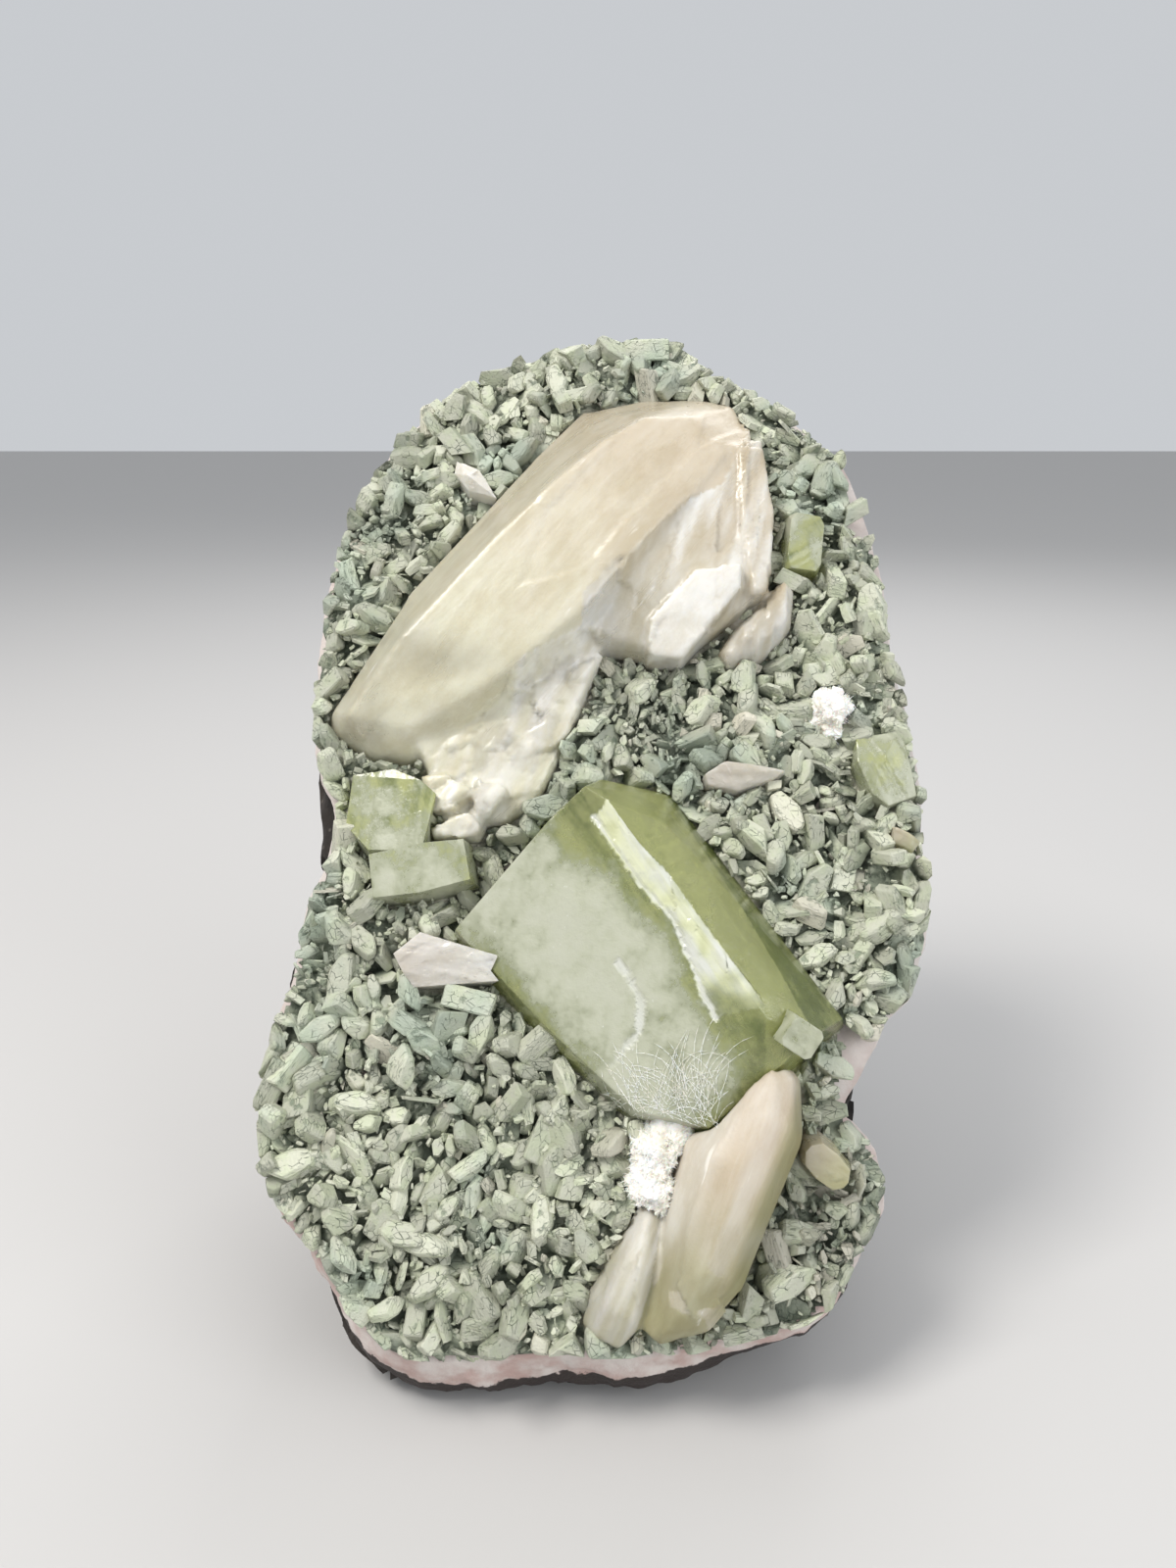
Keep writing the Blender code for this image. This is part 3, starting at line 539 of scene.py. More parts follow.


# Heulandite: thousands of small blocky crystals, crowded together on a crust painted dark green, partly its
# own green coating and partly painted shade

carpet = {
    "crust": 0.6, "foot": -0.5, "inset": 0.5, "step": 0.62, "flush": 0.15, "bucket": 4,
    "sizes": {  # dark: up to which darkness it grows; room: what it takes up, as a share of its spacing
        "big": {"spacing": 2.8, "length": (4.4, 7.2), "rise": (0.9, 2.5), "count": 11000, "seed": 3,
                "margin": 1.2, "dark": 0.35, "room": 0.8},
        "middle": {"spacing": 1.7, "length": (2.8, 4.8), "rise": (0.8, 2.3), "count": 18000, "seed": 4,
                   "margin": 0.6, "dark": 0.8, "room": 0.8},
        "small": {"spacing": 1.05, "length": (1.4, 2.9), "rise": (0.8, 2.4), "count": 28000, "seed": 5,
                  "margin": 0.3, "dark": 2.0, "room": 0.8},
        "grain": {"spacing": 0.60, "length": (0.6, 1.4), "rise": (0.6, 2.2), "count": 30000, "seed": 6,
                  "margin": 0.1, "dark": 2.0, "room": 1.0}},
    "darkPatches": (
        (-1.4, 82.0, 5.0), (9.8, 77.8, 5.5), (-11.2, 39.0, 4.0), (-24.9, 52.4, 4.5),
        (31.3, 9.5, 5.0), (7.5, 27.5, 4.0), (-27.0, 72.5, 5.0), (-30.0, 108.0, 4.0)),
    "bare": (
        (38.5, 117.0, 1.8), (39.6, 113.0, 2.2), (40.6, 108.5, 2.0),
        (35.2, 34.0, 1.8), (36.0, 31.0, 2.3), (34.4, 27.5, 2.1), (33.4, 24.5, 1.5)),
    "warm": (32.0, 12.0, 11.0),
    # deep is the green at the crystals' feet and in the crust, partly their coating and partly painted shade
    "deep": (0.070, 0.085, 0.058), "mid": (0.270, 0.305, 0.230), "pale": (0.560, 0.570, 0.460),
    "lime": (0.540, 0.575, 0.420), "cream": (0.640, 0.600, 0.500), "line": (0.085, 0.125, 0.090),
    "mint": (0.400, 0.470, 0.385), "specular": 0.40, "light": (0.0, 1.0, 0.74, 1.12),
    "mintPatches": (75.0, 3.0, 0.55, 0.50, 0.68, 0.0, 0.75), "gloss": (0.3, 0.7, 0.36, 0.66),
    "bump": (0.75, 0.0004)}

crystal = {
    "coffin": ((0.50, 0.17), (0.10, 0.50), (-0.50, 0.27), (-0.50, -0.17), (-0.10, -0.50), (0.50, -0.27)),
    "brick": ((0.50, 0.42), (-0.44, 0.50), (-0.50, -0.44), (0.46, -0.50)),
    "coffinWidth": (0.42, 0.66), "brickWidth": (0.36, 0.52), "thick": (0.26, 0.44), "plates": (3, 4, 5, 6),
    "fan": (0.02, 0.10), "wobble": 0.045, "plateWobble": 0.016, "broken": 0.25, "bevel": (0.028, 0.055),
    "kinds": ("coffin", "block", "stack", "wedge", "stack", "coffin", "wedge", "stack"), "seed": 12}


def carpetMaterial():
    skin = Surface("heulanditeCrystal", {"Specular IOR Level": carpet["specular"]})
    height, chance, kind = skin.tones()
    grain = skin.add("ShaderNodeAttribute", attribute_name="grain").outputs["Vector"]

    def own(scale, stretch=(1, 1, 1), detail=4.0):
        # Noise in a crystal's own axes, so that its lines follow its plates
        return skin.noise(scale, detail, 0.6, skin.mapped(grain, stretch))

    blotch = own(0.55)
    # Painted shade: colour runs from pale tips down to deep green at the feet and in the crust, partly the
    # green coating and partly shade in the crevices
    lift = skin.plus(height, skin.times(blotch, 0.55))
    low = skin.mix(skin.ramp(lift, 0.20, 0.56), carpet["deep"], carpet["mid"])
    tip = skin.mix(skin.ramp(own(0.35), 0.42, 0.62), carpet["pale"], carpet["lime"])
    colour = skin.mix(skin.ramp(lift, 0.42, 0.86), low, tip)
    minty = skin.times(skin.patches(*carpet["mintPatches"]), skin.ramp(lift, 0.3, 0.7))
    colour = skin.mix(minty, colour, carpet["mint"])
    colour = skin.mix(skin.times(kind, 0.85), colour, carpet["cream"])
    light = skin.ramp(chance, *carpet["light"])
    shades = skin.add("ShaderNodeCombineColor", Red=light, Green=light, Blue=light)
    colour = skin.mix(1.0, colour, shades.outputs["Color"], "MULTIPLY")
    # Dark lines between the plates, and cracks across them
    plates = own(1.0, (0.35, 0.35, 4.5), 5.0)
    lines = skin.times(skin.ramp(plates, 0.56, 0.66), skin.ramp(own(0.7), 0.44, 0.58))
    cells = skin.cells(1.5, "DISTANCE_TO_EDGE", skin.mapped(grain, (0.5, 0.8, 1.5)))
    cracks = skin.times(skin.ramp(cells, 0.045, 0.0), skin.ramp(own(0.45), 0.46, 0.60))
    marks = skin.maths("MAXIMUM", skin.times(lines, 0.75), cracks)
    colour = skin.mix(skin.times(marks, 0.80), colour, carpet["line"])
    colour = skin.mix(skin.ramp(own(5.5), 0.62, 0.74, 0.0, 0.35), colour, carpet["line"])
    skin.put("Base Color", colour)
    skin.put("Roughness", skin.ramp(blotch, *carpet["gloss"]))
    relief = skin.maths("SUBTRACT", skin.plus(plates, skin.times(own(3.2), 0.6)), marks)
    skin.bump(relief, *carpet["bump"])
    return skin.material


def plateCorners(rng, outline, width, thick, taper, wobble):
    corners = []
    for z in (-0.5, 0.5):
        shrink = taper if z > 0 else 1.0
        for x, y in outline:
            corners.append((
                x * shrink + rng.uniform(-wobble, wobble), y * width * shrink + rng.uniform(-wobble, wobble),
                z * thick + rng.uniform(-wobble, wobble)))
    return corners


def crystalTemplate(rng, kind, bevel):
    # One crystal of unit length, as points and triangles, in its own axes
    form = "brick" if kind == "block" else "coffin"
    width = rng.uniform(*crystal[form + "Width"])
    thick = rng.uniform(*crystal["thick"])
    layers = rng.choice(crystal["plates"]) if kind == "stack" else 1
    fan = rng.uniform(*crystal["fan"])
    stacked = layers > 1
    wobble = crystal["plateWobble" if stacked else "wobble"]
    bm = bmesh.new()
    for k in range(layers):
        part = bmesh.new()
        scale = rng.uniform(0.78, 1.0) if stacked else 1.0
        shiftX = rng.uniform(-0.09, 0.09) if stacked else 0.0
        shiftY = rng.uniform(-0.06, 0.06) if stacked else 0.0
        own = thick / layers * (1.15 if stacked else 1.0)
        taper = 0.97 if stacked else rng.uniform(0.78, 1.0)
        middle = ((k + 0.5) / layers - 0.5) * thick
        for x, y, z in plateCorners(rng, crystal[form], width, own, taper, wobble):
            # The plates of a stack spread like a fan from its foot
            part.verts.new((
                x * scale + shiftX, y * scale + shiftY,
                z + middle + (x + 0.5) * fan * (k - layers / 2 + 0.5)))
        bmesh.ops.convex_hull(part, input=part.verts)
        if kind == "wedge" or rng.random() < crystal["broken"]:
            # A slanting or broken end
            bmesh.ops.bisect_plane(
                part, geom=part.verts[:] + part.edges[:] + part.faces[:],
                plane_co=(rng.uniform(0.10, 0.34), 0, 0),
                plane_no=(1, rng.uniform(-0.9, 0.9), rng.uniform(-0.9, 0.9)), clear_outer=True)
            bmesh.ops.holes_fill(part, edges=[e for e in part.edges if e.is_boundary])
        bmesh.ops.dissolve_limit(part, angle_limit=0.10, verts=part.verts, edges=part.edges)
        if bevel and not stacked:
            bmesh.ops.bevel(
                part, geom=part.edges[:], offset=rng.uniform(*crystal["bevel"]), segments=1, profile=0.5,
                affect="EDGES", clamp_overlap=True)
        bmesh.ops.triangulate(part, faces=part.faces)
        bmesh.ops.recalc_face_normals(part, faces=part.faces)
        mesh = bpy.data.meshes.new("part")
        part.to_mesh(mesh)
        part.free()
        bm.from_mesh(mesh)
        bpy.data.meshes.remove(mesh)
    return meshArrays(bm)


def turnMatrices(azimuth, lean, roll):
    ca, sa, cl, sl, cr, sr = (f(x) for x in (azimuth, lean, roll) for f in (np.cos, np.sin))
    one, zero = np.ones_like(ca), np.zeros_like(ca)
    rz = np.array([[ca, -sa, zero], [sa, ca, zero], [zero, zero, one]])
    ry = np.array([[cl, zero, sl], [zero, one, zero], [-sl, zero, cl]])
    rx = np.array([[one, zero, zero], [zero, cr, -sr], [zero, sr, cr]])
    return np.einsum("ijn,jkn,kln->nil", rz, ry, rx)


def spreadPlaces(settings, taken, allowed):
    # Dart throwing on a grid of buckets: even, random places at least a spacing apart
    rng = np.random.default_rng(settings["seed"])
    spacing = settings["spacing"]
    darts = rng.uniform(rimLoop.min(0), rimLoop.max(0), (settings["count"], 2))
    buckets = {}

    def homeOf(place):
        return int(place[0] // carpet["bucket"]), int(place[1] // carpet["bucket"])

    for place, radius in taken:
        buckets.setdefault(homeOf(place), []).append((place, radius))
    kept = []
    for dart in darts[allowed(darts)]:
        home = homeOf(dart)
        near = [
            entry for i in (-1, 0, 1) for j in (-1, 0, 1)
            for entry in buckets.get((home[0] + i, home[1] + j), ())]
        crowded = any(
            (place[0] - dart[0]) ** 2 + (place[1] - dart[1]) ** 2 < ((radius + spacing) / 2) ** 2
            for place, radius in near)
        if not crowded:
            buckets.setdefault(home, []).append((dart, spacing))
            kept.append(dart)
    return np.array(kept)


bigTree = faceTree(*[
    name for name in nodes if name not in ("basalt_matrix", "chalcedony_layer", "heulandite_druse")])


def covered(points, radius):
    # Which points lie under the large crystals, or within a radius of them
    result = np.zeros(len(points), bool)
    for i, point in enumerate(points):
        for dx, dy in ((0, 0), (radius, 0), (-radius, 0), (0, radius), (0, -radius)):
            if bigTree.ray_cast(Vector((point[0] + dx, point[1] + dy, face["above"])), inwards)[0]:
                result[i] = True
                break
    return result


def darkness(points):
    # Nearness to the patches where the carpet is fine-grained and dark
    total = np.zeros(len(points))
    for u, v, radius in carpet["darkPatches"]:
        away = np.linalg.norm(points[:, :2] - np.array([u, v]), axis=1)
        total = np.maximum(total, ramp(away, radius * 1.25, radius * 0.55))
    return total


def isBare(points, margin=0.0):
    # The places by the edge where the crystals are missing and the layer below shows
    ragged = 0.6 * softNoise(points, 1.2, 91)
    missing = np.zeros(len(points), bool)
    for u, v, radius in carpet["bare"]:
        missing |= np.linalg.norm(points[:, :2] - np.array([u, v]), axis=1) + ragged < radius + margin
    return missing


def nearCreamAndShadowCorner(points):
    # Nearness to the lower right corner, where the crystals are cream and are painted darker, most in the
    # gaps, as shadow
    u, v, radius = carpet["warm"]
    return ramp(np.linalg.norm(points[:, :2] - np.array([u, v]), axis=1), radius, radius * 0.5)


def swellOf(points):
    # The slow rise and fall of the whole carpet
    return layeredNoise(points, 11.0, 40, 2) * 0.8


def flushWithRim(verts):
    # The plate was broken flush along its edge: nothing stands out past the rim
    flat = verts[:, :2]
    nearest = np.zeros(len(flat), int)
    loose = ~insideLoop((rimLoop - rimOutwards * 0.5)[::4], flat)
    order = np.flatnonzero(loose)
    for start in range(0, len(order), 4000):
        part = order[start:start + 4000]
        nearest[part] = ((flat[part][:, None, :] - rimLoop[None, :, :]) ** 2).sum(2).argmin(1)
    outwards = rimOutwards[nearest]
    beyond = ((flat - rimLoop[nearest]) * outwards).sum(1) + carpet["flush"]
    beyond = np.where(loose, np.maximum(beyond, 0.0), 0.0)
    verts[:, :2] -= outwards * beyond[:, None]
    return verts


def growCrystals(settings, places, templates, rng):
    # Turns places into crystals; returns points, triangles, tones and the crystals' own axes
    count = len(places)
    length = rng.uniform(*settings["length"], count)
    # Neighbours grow in roughly the same direction
    azimuth = softNoise(places, 9.0, 60) * 4.0 + rng.normal(0, 0.75, count)
    lean = softNoise(places, 7.0, 61) * 0.7 + rng.normal(0, 0.42, count)
    roll = rng.normal(0, 0.75, count)
    edge = rimDistance(places, 6)
    rise = carpet["crust"] + rng.uniform(*settings["rise"], count)
    rise += (swellOf(places) + 0.3) * ramp(edge, 0.5, 5.0) - 0.8 * (1 - ramp(edge, 0.0, 3.0))
    turns = turnMatrices(azimuth, lean, roll)
    chosen = rng.integers(0, len(templates), count)
    chance = rng.uniform(0, 1, count)
    warm = nearCreamAndShadowCorner(places)
    cream = (rng.uniform(0, 1, count) < 0.05 + 0.45 * warm) * rng.uniform(0.4, 1.0, count)
    # Darker in the fine-grained patches, and painted darker in the lower right corner as the shadow that
    # falls there
    dark = np.maximum(darkness(places), 1.1 * warm)
    verts, faces, tones, grains = [], [], [], []
    start = 0
    for i in range(count):
        shape, triangles = templates[chosen[i]]
        local = shape * length[i]
        spot = local @ turns[i].T
        spot[:, 2] += rise[i]
        own = spot[:, 2] - rise[i]
        # Painted shade: the tone falls towards each crystal's foot and low down near the crust, for the shade
        # between crystals
        height = np.clip((spot[:, 2] - 0.3) / 3.6, 0, 1) * 0.6 + 0.4 * ramp(own / (0.2 * length[i]), -1, 1)
        spot[:, 2] = np.maximum(spot[:, 2], carpet["foot"])
        spot[:, :2] += places[i]
        verts.append(spot)
        faces.append(triangles + start)
        tone = np.zeros((len(spot), 3))
        tone[:] = (0.0, chance[i] * (1 - 0.5 * dark[i]), cream[i])
        tone[:, 0] = height * (1 - 0.45 * dark[i])
        tones.append(tone)
        grains.append(local + np.array([97.0, 41.0, 63.0]) * chance[i])
        start += len(spot)
    verts = flushWithRim(np.concatenate(verts))
    return verts, np.concatenate(faces), np.concatenate(tones), np.concatenate(grains)


def makeCrust(material):
    # The crust between the crystals, a fine uneven sheet that ends just inside the rim
    low, high = rimLoop.min(0) - 1, rimLoop.max(0) + 1
    columns, rows = (np.arange(low[k], high[k], carpet["step"]) for k in (0, 1))
    grid = np.stack(np.meshgrid(columns, rows, indexing="ij"), 2).reshape(-1, 2)
    inside = insideLoop(rimLoop - rimOutwards * 0.25, grid) & ~isBare(grid)
    number = np.full(len(grid), -1)
    number[inside] = np.arange(inside.sum())
    points = grid[inside]
    bumps = layeredNoise(points, 2.0, 9, 3) * 0.5 + np.clip(cellFacets(points, 1.5, 77, 0.5), -0.5, 0.6)
    edge = rimDistance(points, 8)
    swell = swellOf(points) * 0.6 * ramp(edge, 0.5, 5.0)
    height = 0.75 + bumps * ramp(edge, 0, 2) + swell - 1.1 * (1 - ramp(edge, 0, 1.2))
    verts = np.column_stack([points, height])
    cell = number.reshape((len(columns), len(rows)))
    quads = np.stack([cell[:-1, :-1], cell[1:, :-1], cell[1:, 1:], cell[:-1, 1:]], 2).reshape(-1, 4)
    piece = addMesh("heulanditeCrust", verts, quads[(quads >= 0).all(1)], material)
    # Painted shade and light: the crust is darker the lower it lies, and under the large crystals it is
    # painted pale and cream for the light that comes through them
    under = covered(points, 0.5).astype(float)
    tone = np.clip((height + 0.3) / 5.0, 0, 0.4)
    setTone(piece, tone + under * (0.9 - tone), 0.4 + 0.3 * softNoise(points, 1.4, 8), 0.7 * under)
    setNumbers(piece, "grain", "FLOAT_VECTOR", "vector", verts)


def makeCarpet():
    material = carpetMaterial()
    rng = random.Random(crystal["seed"])
    kinds = crystal["kinds"]
    bevelled = [crystalTemplate(rng, kinds[k % 8], True) for k in range(24)]
    plain = [crystalTemplate(rng, kinds[k % 4], False) for k in range(16)]
    field = rimLoop - rimOutwards * carpet["inset"]
    draws = np.random.default_rng(21)
    taken = []
    makeCrust(material)
    for name, settings in carpet["sizes"].items():

        def allowed(darts):
            good = insideLoop(field, darts)
            good[good] = ~covered(darts[good], settings["margin"])
            dark = darkness(darts)
            good &= ~isBare(darts, 0.4) & (dark < settings["dark"])
            if name == "grain":
                good &= (dark > 0.25) | (hashed(np.floor(darts * 3), 5) < 0.35)
            return good

        places = spreadPlaces(settings, taken if name != "grain" else [], allowed)
        templates = bevelled if name in ("big", "middle") else plain
        verts, faces, tones, grains = growCrystals(settings, places, templates, draws)
        piece = addMesh("heulandite" + name.capitalize(), verts, faces, material)
        setTone(piece, *tones.T)
        setNumbers(piece, "grain", "FLOAT_VECTOR", "vector", grains)
        if name == "big":
            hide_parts("heulandite_druse")
        taken += [(place, settings["spacing"] * settings["room"]) for place in places]
        print("heulandite", name, len(places), "crystals,", len(faces), "triangles")


makeCarpet()
print("carpet made")


# Stilbite: cream blades with a pearly lustre and a fine grain along their length

stilbite = {
    "voxel": 0.5, "turn": 50.0, "foot": (-36.0, 86.5), "bowVoxel": 0.35, "bowTurn": 67.0, "bowAt": (9.0, 0.0),
    "cream": (0.550, 0.478, 0.368), "peach": (0.490, 0.395, 0.285), "footTone": (0.620, 0.600, 0.465),
    "pearl": (0.740, 0.725, 0.680), "pink": (0.600, 0.545, 0.500), "lime": (0.460, 0.460, 0.220),
    "bowFoot": (0.430, 0.400, 0.290), "glassy": (0.540, 0.510, 0.390), "honey": (0.540, 0.520, 0.240),
    "scratchAndHighlight": (0.860, 0.840, 0.780), "shade": (0.86, 0.83, 0.77), "gloss": (0.24, 0.48),
    "dull": (0.40, 0.62), "coat": 0.18, "coatRoughness": 0.22, "glow": 0.22,
    "glowRadius": (1.0, 0.8, 0.5), "glowScale": 0.0025,
    # Areas of the large sheaf, as loops on the face
    "blade": (
        (-30.0, 72.0), (-24.0, 71.5), (-19.3, 74.4), (-11.9, 80.3), (-9.6, 84.4), (-1.0, 89.6), (-0.5, 93.7),
        (2.9, 97.4), (8.4, 102.2), (14.6, 108.8), (19.1, 111.6), (22.9, 120.1), (23.0, 132.0), (-60.0, 132.0),
        (-60.0, 72.0)),
    "mass": ((-8.0, 90.0), (2.0, 90.0), (0.0, 60.0), (-30.0, 60.0), (-24.0, 71.5), (-11.9, 80.3)),
    "bright": ((8.7, 91.4), (15.0, 98.4), (21.5, 99.5), (21.5, 96.4), (13.1, 86.2), (8.4, 86.6)),
    "lobe": ((9.6, 15.0), (4.0, 14.0), (-3.0, -4.0), (4.6, -4.0), (7.4, 4.0)),
    # Small crystals: material, slot, turn of the grain, clearness, pearl, height of the ribs, bevel
    "shards": {
        "stilbite_blade": ("pink", "stilbite_pink", -12.0, 0.2, 0.3, 0.06, 0.3),
        "stilbite_flake": ("pink", "stilbite_pink", 0.0, 0.3, 0.2, 0.06, 0.3),
        "stilbite_bud": ("pink", "stilbite", 135.0, 0.0, 1.0, 0.12, 0.3),
        "stilbite_lobe_right": ("lime", "stilbite", 130.0, 0.4, 0.0, 0.03, 0.6),
        "stilbite_lobe_edge": ("lime", "stilbite", 140.0, 0.35, 0.0, 0.06, 0.3)}}


def camel(nodeName):
    first, *others = nodeName.split("_")
    return first + "".join(word.capitalize() for word in others)


def stilbiteMaterial(name, ends, turn, grain=1.0, coat=stilbite["coat"], glass="glassy", gloss="gloss"):
    # ends: colour at the foot and at the tip; tone: place along the blade, clearness, pearl
    skin = Surface(name, {
        "Coat Weight": coat, "Coat Roughness": stilbite["coatRoughness"],
        "Subsurface Weight": stilbite["glow"], "Subsurface Radius": stilbite["glowRadius"],
        "Subsurface Scale": stilbite["glowScale"]})
    along, clear, pearl = skin.tones()
    fibres = skin.noise(260.0, 5.0, 0.62, skin.along(turn, 14.0))
    cloud = skin.noise(95.0, 5.0, 0.6)
    veil = skin.noise(210.0, 6.0, 0.68, skin.along(turn, 2.2))
    place = skin.plus(along, skin.times(cloud, 0.5))
    colour = skin.mix(skin.ramp(place, 0.35, 1.15), *(stilbite[end] for end in ends))
    colour = skin.mix(skin.ramp(fibres, 0.46, 0.72, 0.0, 0.30), colour, stilbite["pearl"])
    colour = skin.mix(skin.times(clear, 0.9), colour, stilbite[glass])
    colour = skin.mix(pearl, colour, stilbite["pearl"])
    tint = skin.mix(skin.ramp(veil, 0.34, 0.62), stilbite["shade"], (1.0, 1.0, 1.0))
    colour = skin.mix(1.0, colour, tint, "MULTIPLY")
    # Pale scratch lines along the grain: fine scratches, and painted highlights on the striations
    nicksAndHighlights = skin.ramp(skin.noise(520.0, 3.0, 0.5, skin.along(turn, 22.0)), 0.67, 0.71)
    nicksAndHighlights = skin.times(nicksAndHighlights, skin.ramp(cloud, 0.45, 0.6, 0.0, 0.6))
    skin.put("Base Color", skin.mix(nicksAndHighlights, colour, stilbite["scratchAndHighlight"]))
    skin.put("Transmission Weight", skin.times(clear, 0.6))
    skin.put("Roughness", skin.ramp(fibres, 0.3, 0.7, *stilbite[gloss]))
    skin.bump(skin.plus(fibres, skin.times(skin.noise(1800.0, 3.0), 0.25)), 0.30 * grain, 0.0005)
    return skin.material


def makeSheaf():
    piece = refine("stilbite_sheaf", "stilbiteSheaf", stilbite["voxel"], 4)
    points, normals = pointsOf(piece)
    u, v, w = points.copy().T
    turn = stilbite["turn"]
    along, across = alongAcross(points, turn, stilbite["foot"])
    blade = insideLoop(stilbite["blade"], points)
    mass = insideLoop(stilbite["mass"], points) & ~blade
    fan = ~blade & ~mass
    bladePush = layeredNoise(np.column_stack([along / 16.0, across, w]), 2.6, 14, 3) * 0.07
    bladePush += flatPlates(points, 31, 9.0, 0.035, turn, 4.0)
    chips = flatPlates(points, 33, 1.7, 0.20, 60.0, 2.0)
    ribs = np.abs(softNoise(np.column_stack([u - 0.1 * v, v / 30.0]), 0.7, 15)) * ramp(u, 20.5, 22.5) * 0.7
    fanPush = np.clip(flatPlates(points, 32, 5.5, 0.09, 75.0, 2.4), -0.9, 0.9) + chips * 0.35 + ribs
    massPush = np.clip(flatPlates(points, 34, 3.2, 0.22, 35.0, 1.8), -0.9, 0.9) + chips * 0.8
    push = np.select([blade, fan], [bladePush, fanPush], massPush) * (0.25 + 0.75 * ramp(w, 2.0, 5.0))
    points += normals * push[:, None]
    movePoints(piece, points)
    u, v, w = points.T
    # The long facet on the left of the blade is glassy, and so are the foot and the lower edge
    leftwards = alongAcross(normals, turn)[1]
    glassy = 0.5 * ramp(along, 20.0, 6.0) * (softNoise(points, 5.0, 6) + 0.4)
    glassy = np.maximum(0.38 * ramp(leftwards, 0.15, 0.5), glassy)
    clear = np.select(
        [blade, fan], [glassy, 0.1 + 0.3 * ramp(v, 100.0, 92.0)], 0.25 * (softNoise(points, 3.0, 4) > 0))
    clear = np.maximum(clear, 0.45 * ramp(w, 3.0, 1.5))
    # Painted highlight: the fan's bright facet is painted full pearl white, and not clear
    bright = insideLoop(stilbite["bright"], points)
    silk = layeredNoise(np.column_stack([u - 0.3 * v, v / 7.0]), 1.6, 3, 3)
    pearl = np.select([bright, blade, fan], [1.0, 0.0, 0.42 + 0.75 * silk], 0.40 + 0.6 * silk)
    setTone(piece, np.clip(along / 62.0, 0, 1), clear * ~bright, np.clip(pearl, 0, 1))
    material = stilbiteMaterial("stilbiteCream", ("footTone", "cream"), turn)
    finish(piece, "stilbite_sheaf", material)


def makeBowtie():
    # The rounded sheaf at the lower right: cream, with a yellow clear edge, a glassy foot and a left flank
    # painted whiter as light
    piece = refine("stilbite_bowtie", "stilbiteBowtie", stilbite["bowVoxel"], 26)
    points, normals = pointsOf(piece)
    along, leftwards = alongAcross(points, stilbite["bowTurn"], stilbite["bowAt"])
    across = -leftwards
    grain = layeredNoise(np.column_stack([along / 7.0, across, points[:, 2]]), 1.8, 50, 3) * 0.07
    lower = ramp(along, 12.0, 5.0)
    plates = flatPlates(points, 51, 3.0, 0.12, stilbite["bowTurn"], 3.0)
    points += normals * (grain + plates * (0.15 + 0.85 * lower))[:, None]
    movePoints(piece, points)
    lobe = insideLoop(stilbite["lobe"], points)
    edge = ramp(across, 3.4, 6.0) * ramp(along, 2.0, 8.0)
    clear = np.maximum(0.8 * edge, 0.55 * lower * (softNoise(points, 4.0, 8) > -0.3))
    clear = np.where(lobe, 0.25 + 0.3 * ramp(points[:, 0], 5.0, 2.0), clear)
    pearl = 0.05 + 0.25 * softNoise(points, 5.0, 2) + 0.18 * ramp(along, 26.0, 34.0)
    # Painted light: the left flank is painted whiter, as the side the light falls on
    pearl = np.clip(pearl + 0.50 * ramp(across, 0.0, -4.0) * (1 - lower), 0, 1)
    silk = layeredNoise(np.column_stack([across, along / 9.0]), 1.1, 21, 3)
    pearl = np.clip(np.where(lobe, 0.45 + 0.5 * silk, pearl), 0, 1)
    setTone(piece, np.clip(along / 34.0, 0, 1), clear, pearl)
    material = stilbiteMaterial(
        "stilbiteBowtie", ("bowFoot", "peach"), stilbite["bowTurn"], 1.4, 0.02, "honey", "dull")
    finish(piece, "stilbite_bowtie", material)


def makeShard(nodeName, material, slot, turn, clear, pearl, ribs, bevel):
    # A small stilbite crystal with soft edges and the fine ridges of its grain
    verts, faces = finePolygons(nodeName, bevel, 0.55)
    along, across = alongAcross(verts, turn, verts[:, :2].mean(0))
    ridges = layeredNoise(np.column_stack([along / 10.0, across]), 0.9, 50, 3) * ribs * 2
    chips = np.clip(cellFacets(verts, 1.6, 17, 0.12), -0.3, 0.2)
    verts[:, 2] += (ridges + chips) * ramp(verts[:, 2], 1.5, 3.0)
    piece = addMesh(camel(nodeName), verts, faces, material, True)
    setTone(piece, np.clip(0.5 + along / np.abs(along).max() / 2, 0, 1), clear, pearl)
    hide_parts(nodeName)


makeSheaf()
makeBowtie()
shardMaterials = {
    "pink": stilbiteMaterial("stilbitePink", ("pink", "pearl"), 10.0, 1.2),
    "lime": stilbiteMaterial("stilbiteLime", ("lime", "cream"), 150.0)}
for nodeName, (look, *settings) in stilbite["shards"].items():
    makeShard(nodeName, shardMaterials[look], *settings)
print("stilbite made")


# Apophyllite: clear green blocks, frosted on their broad faces

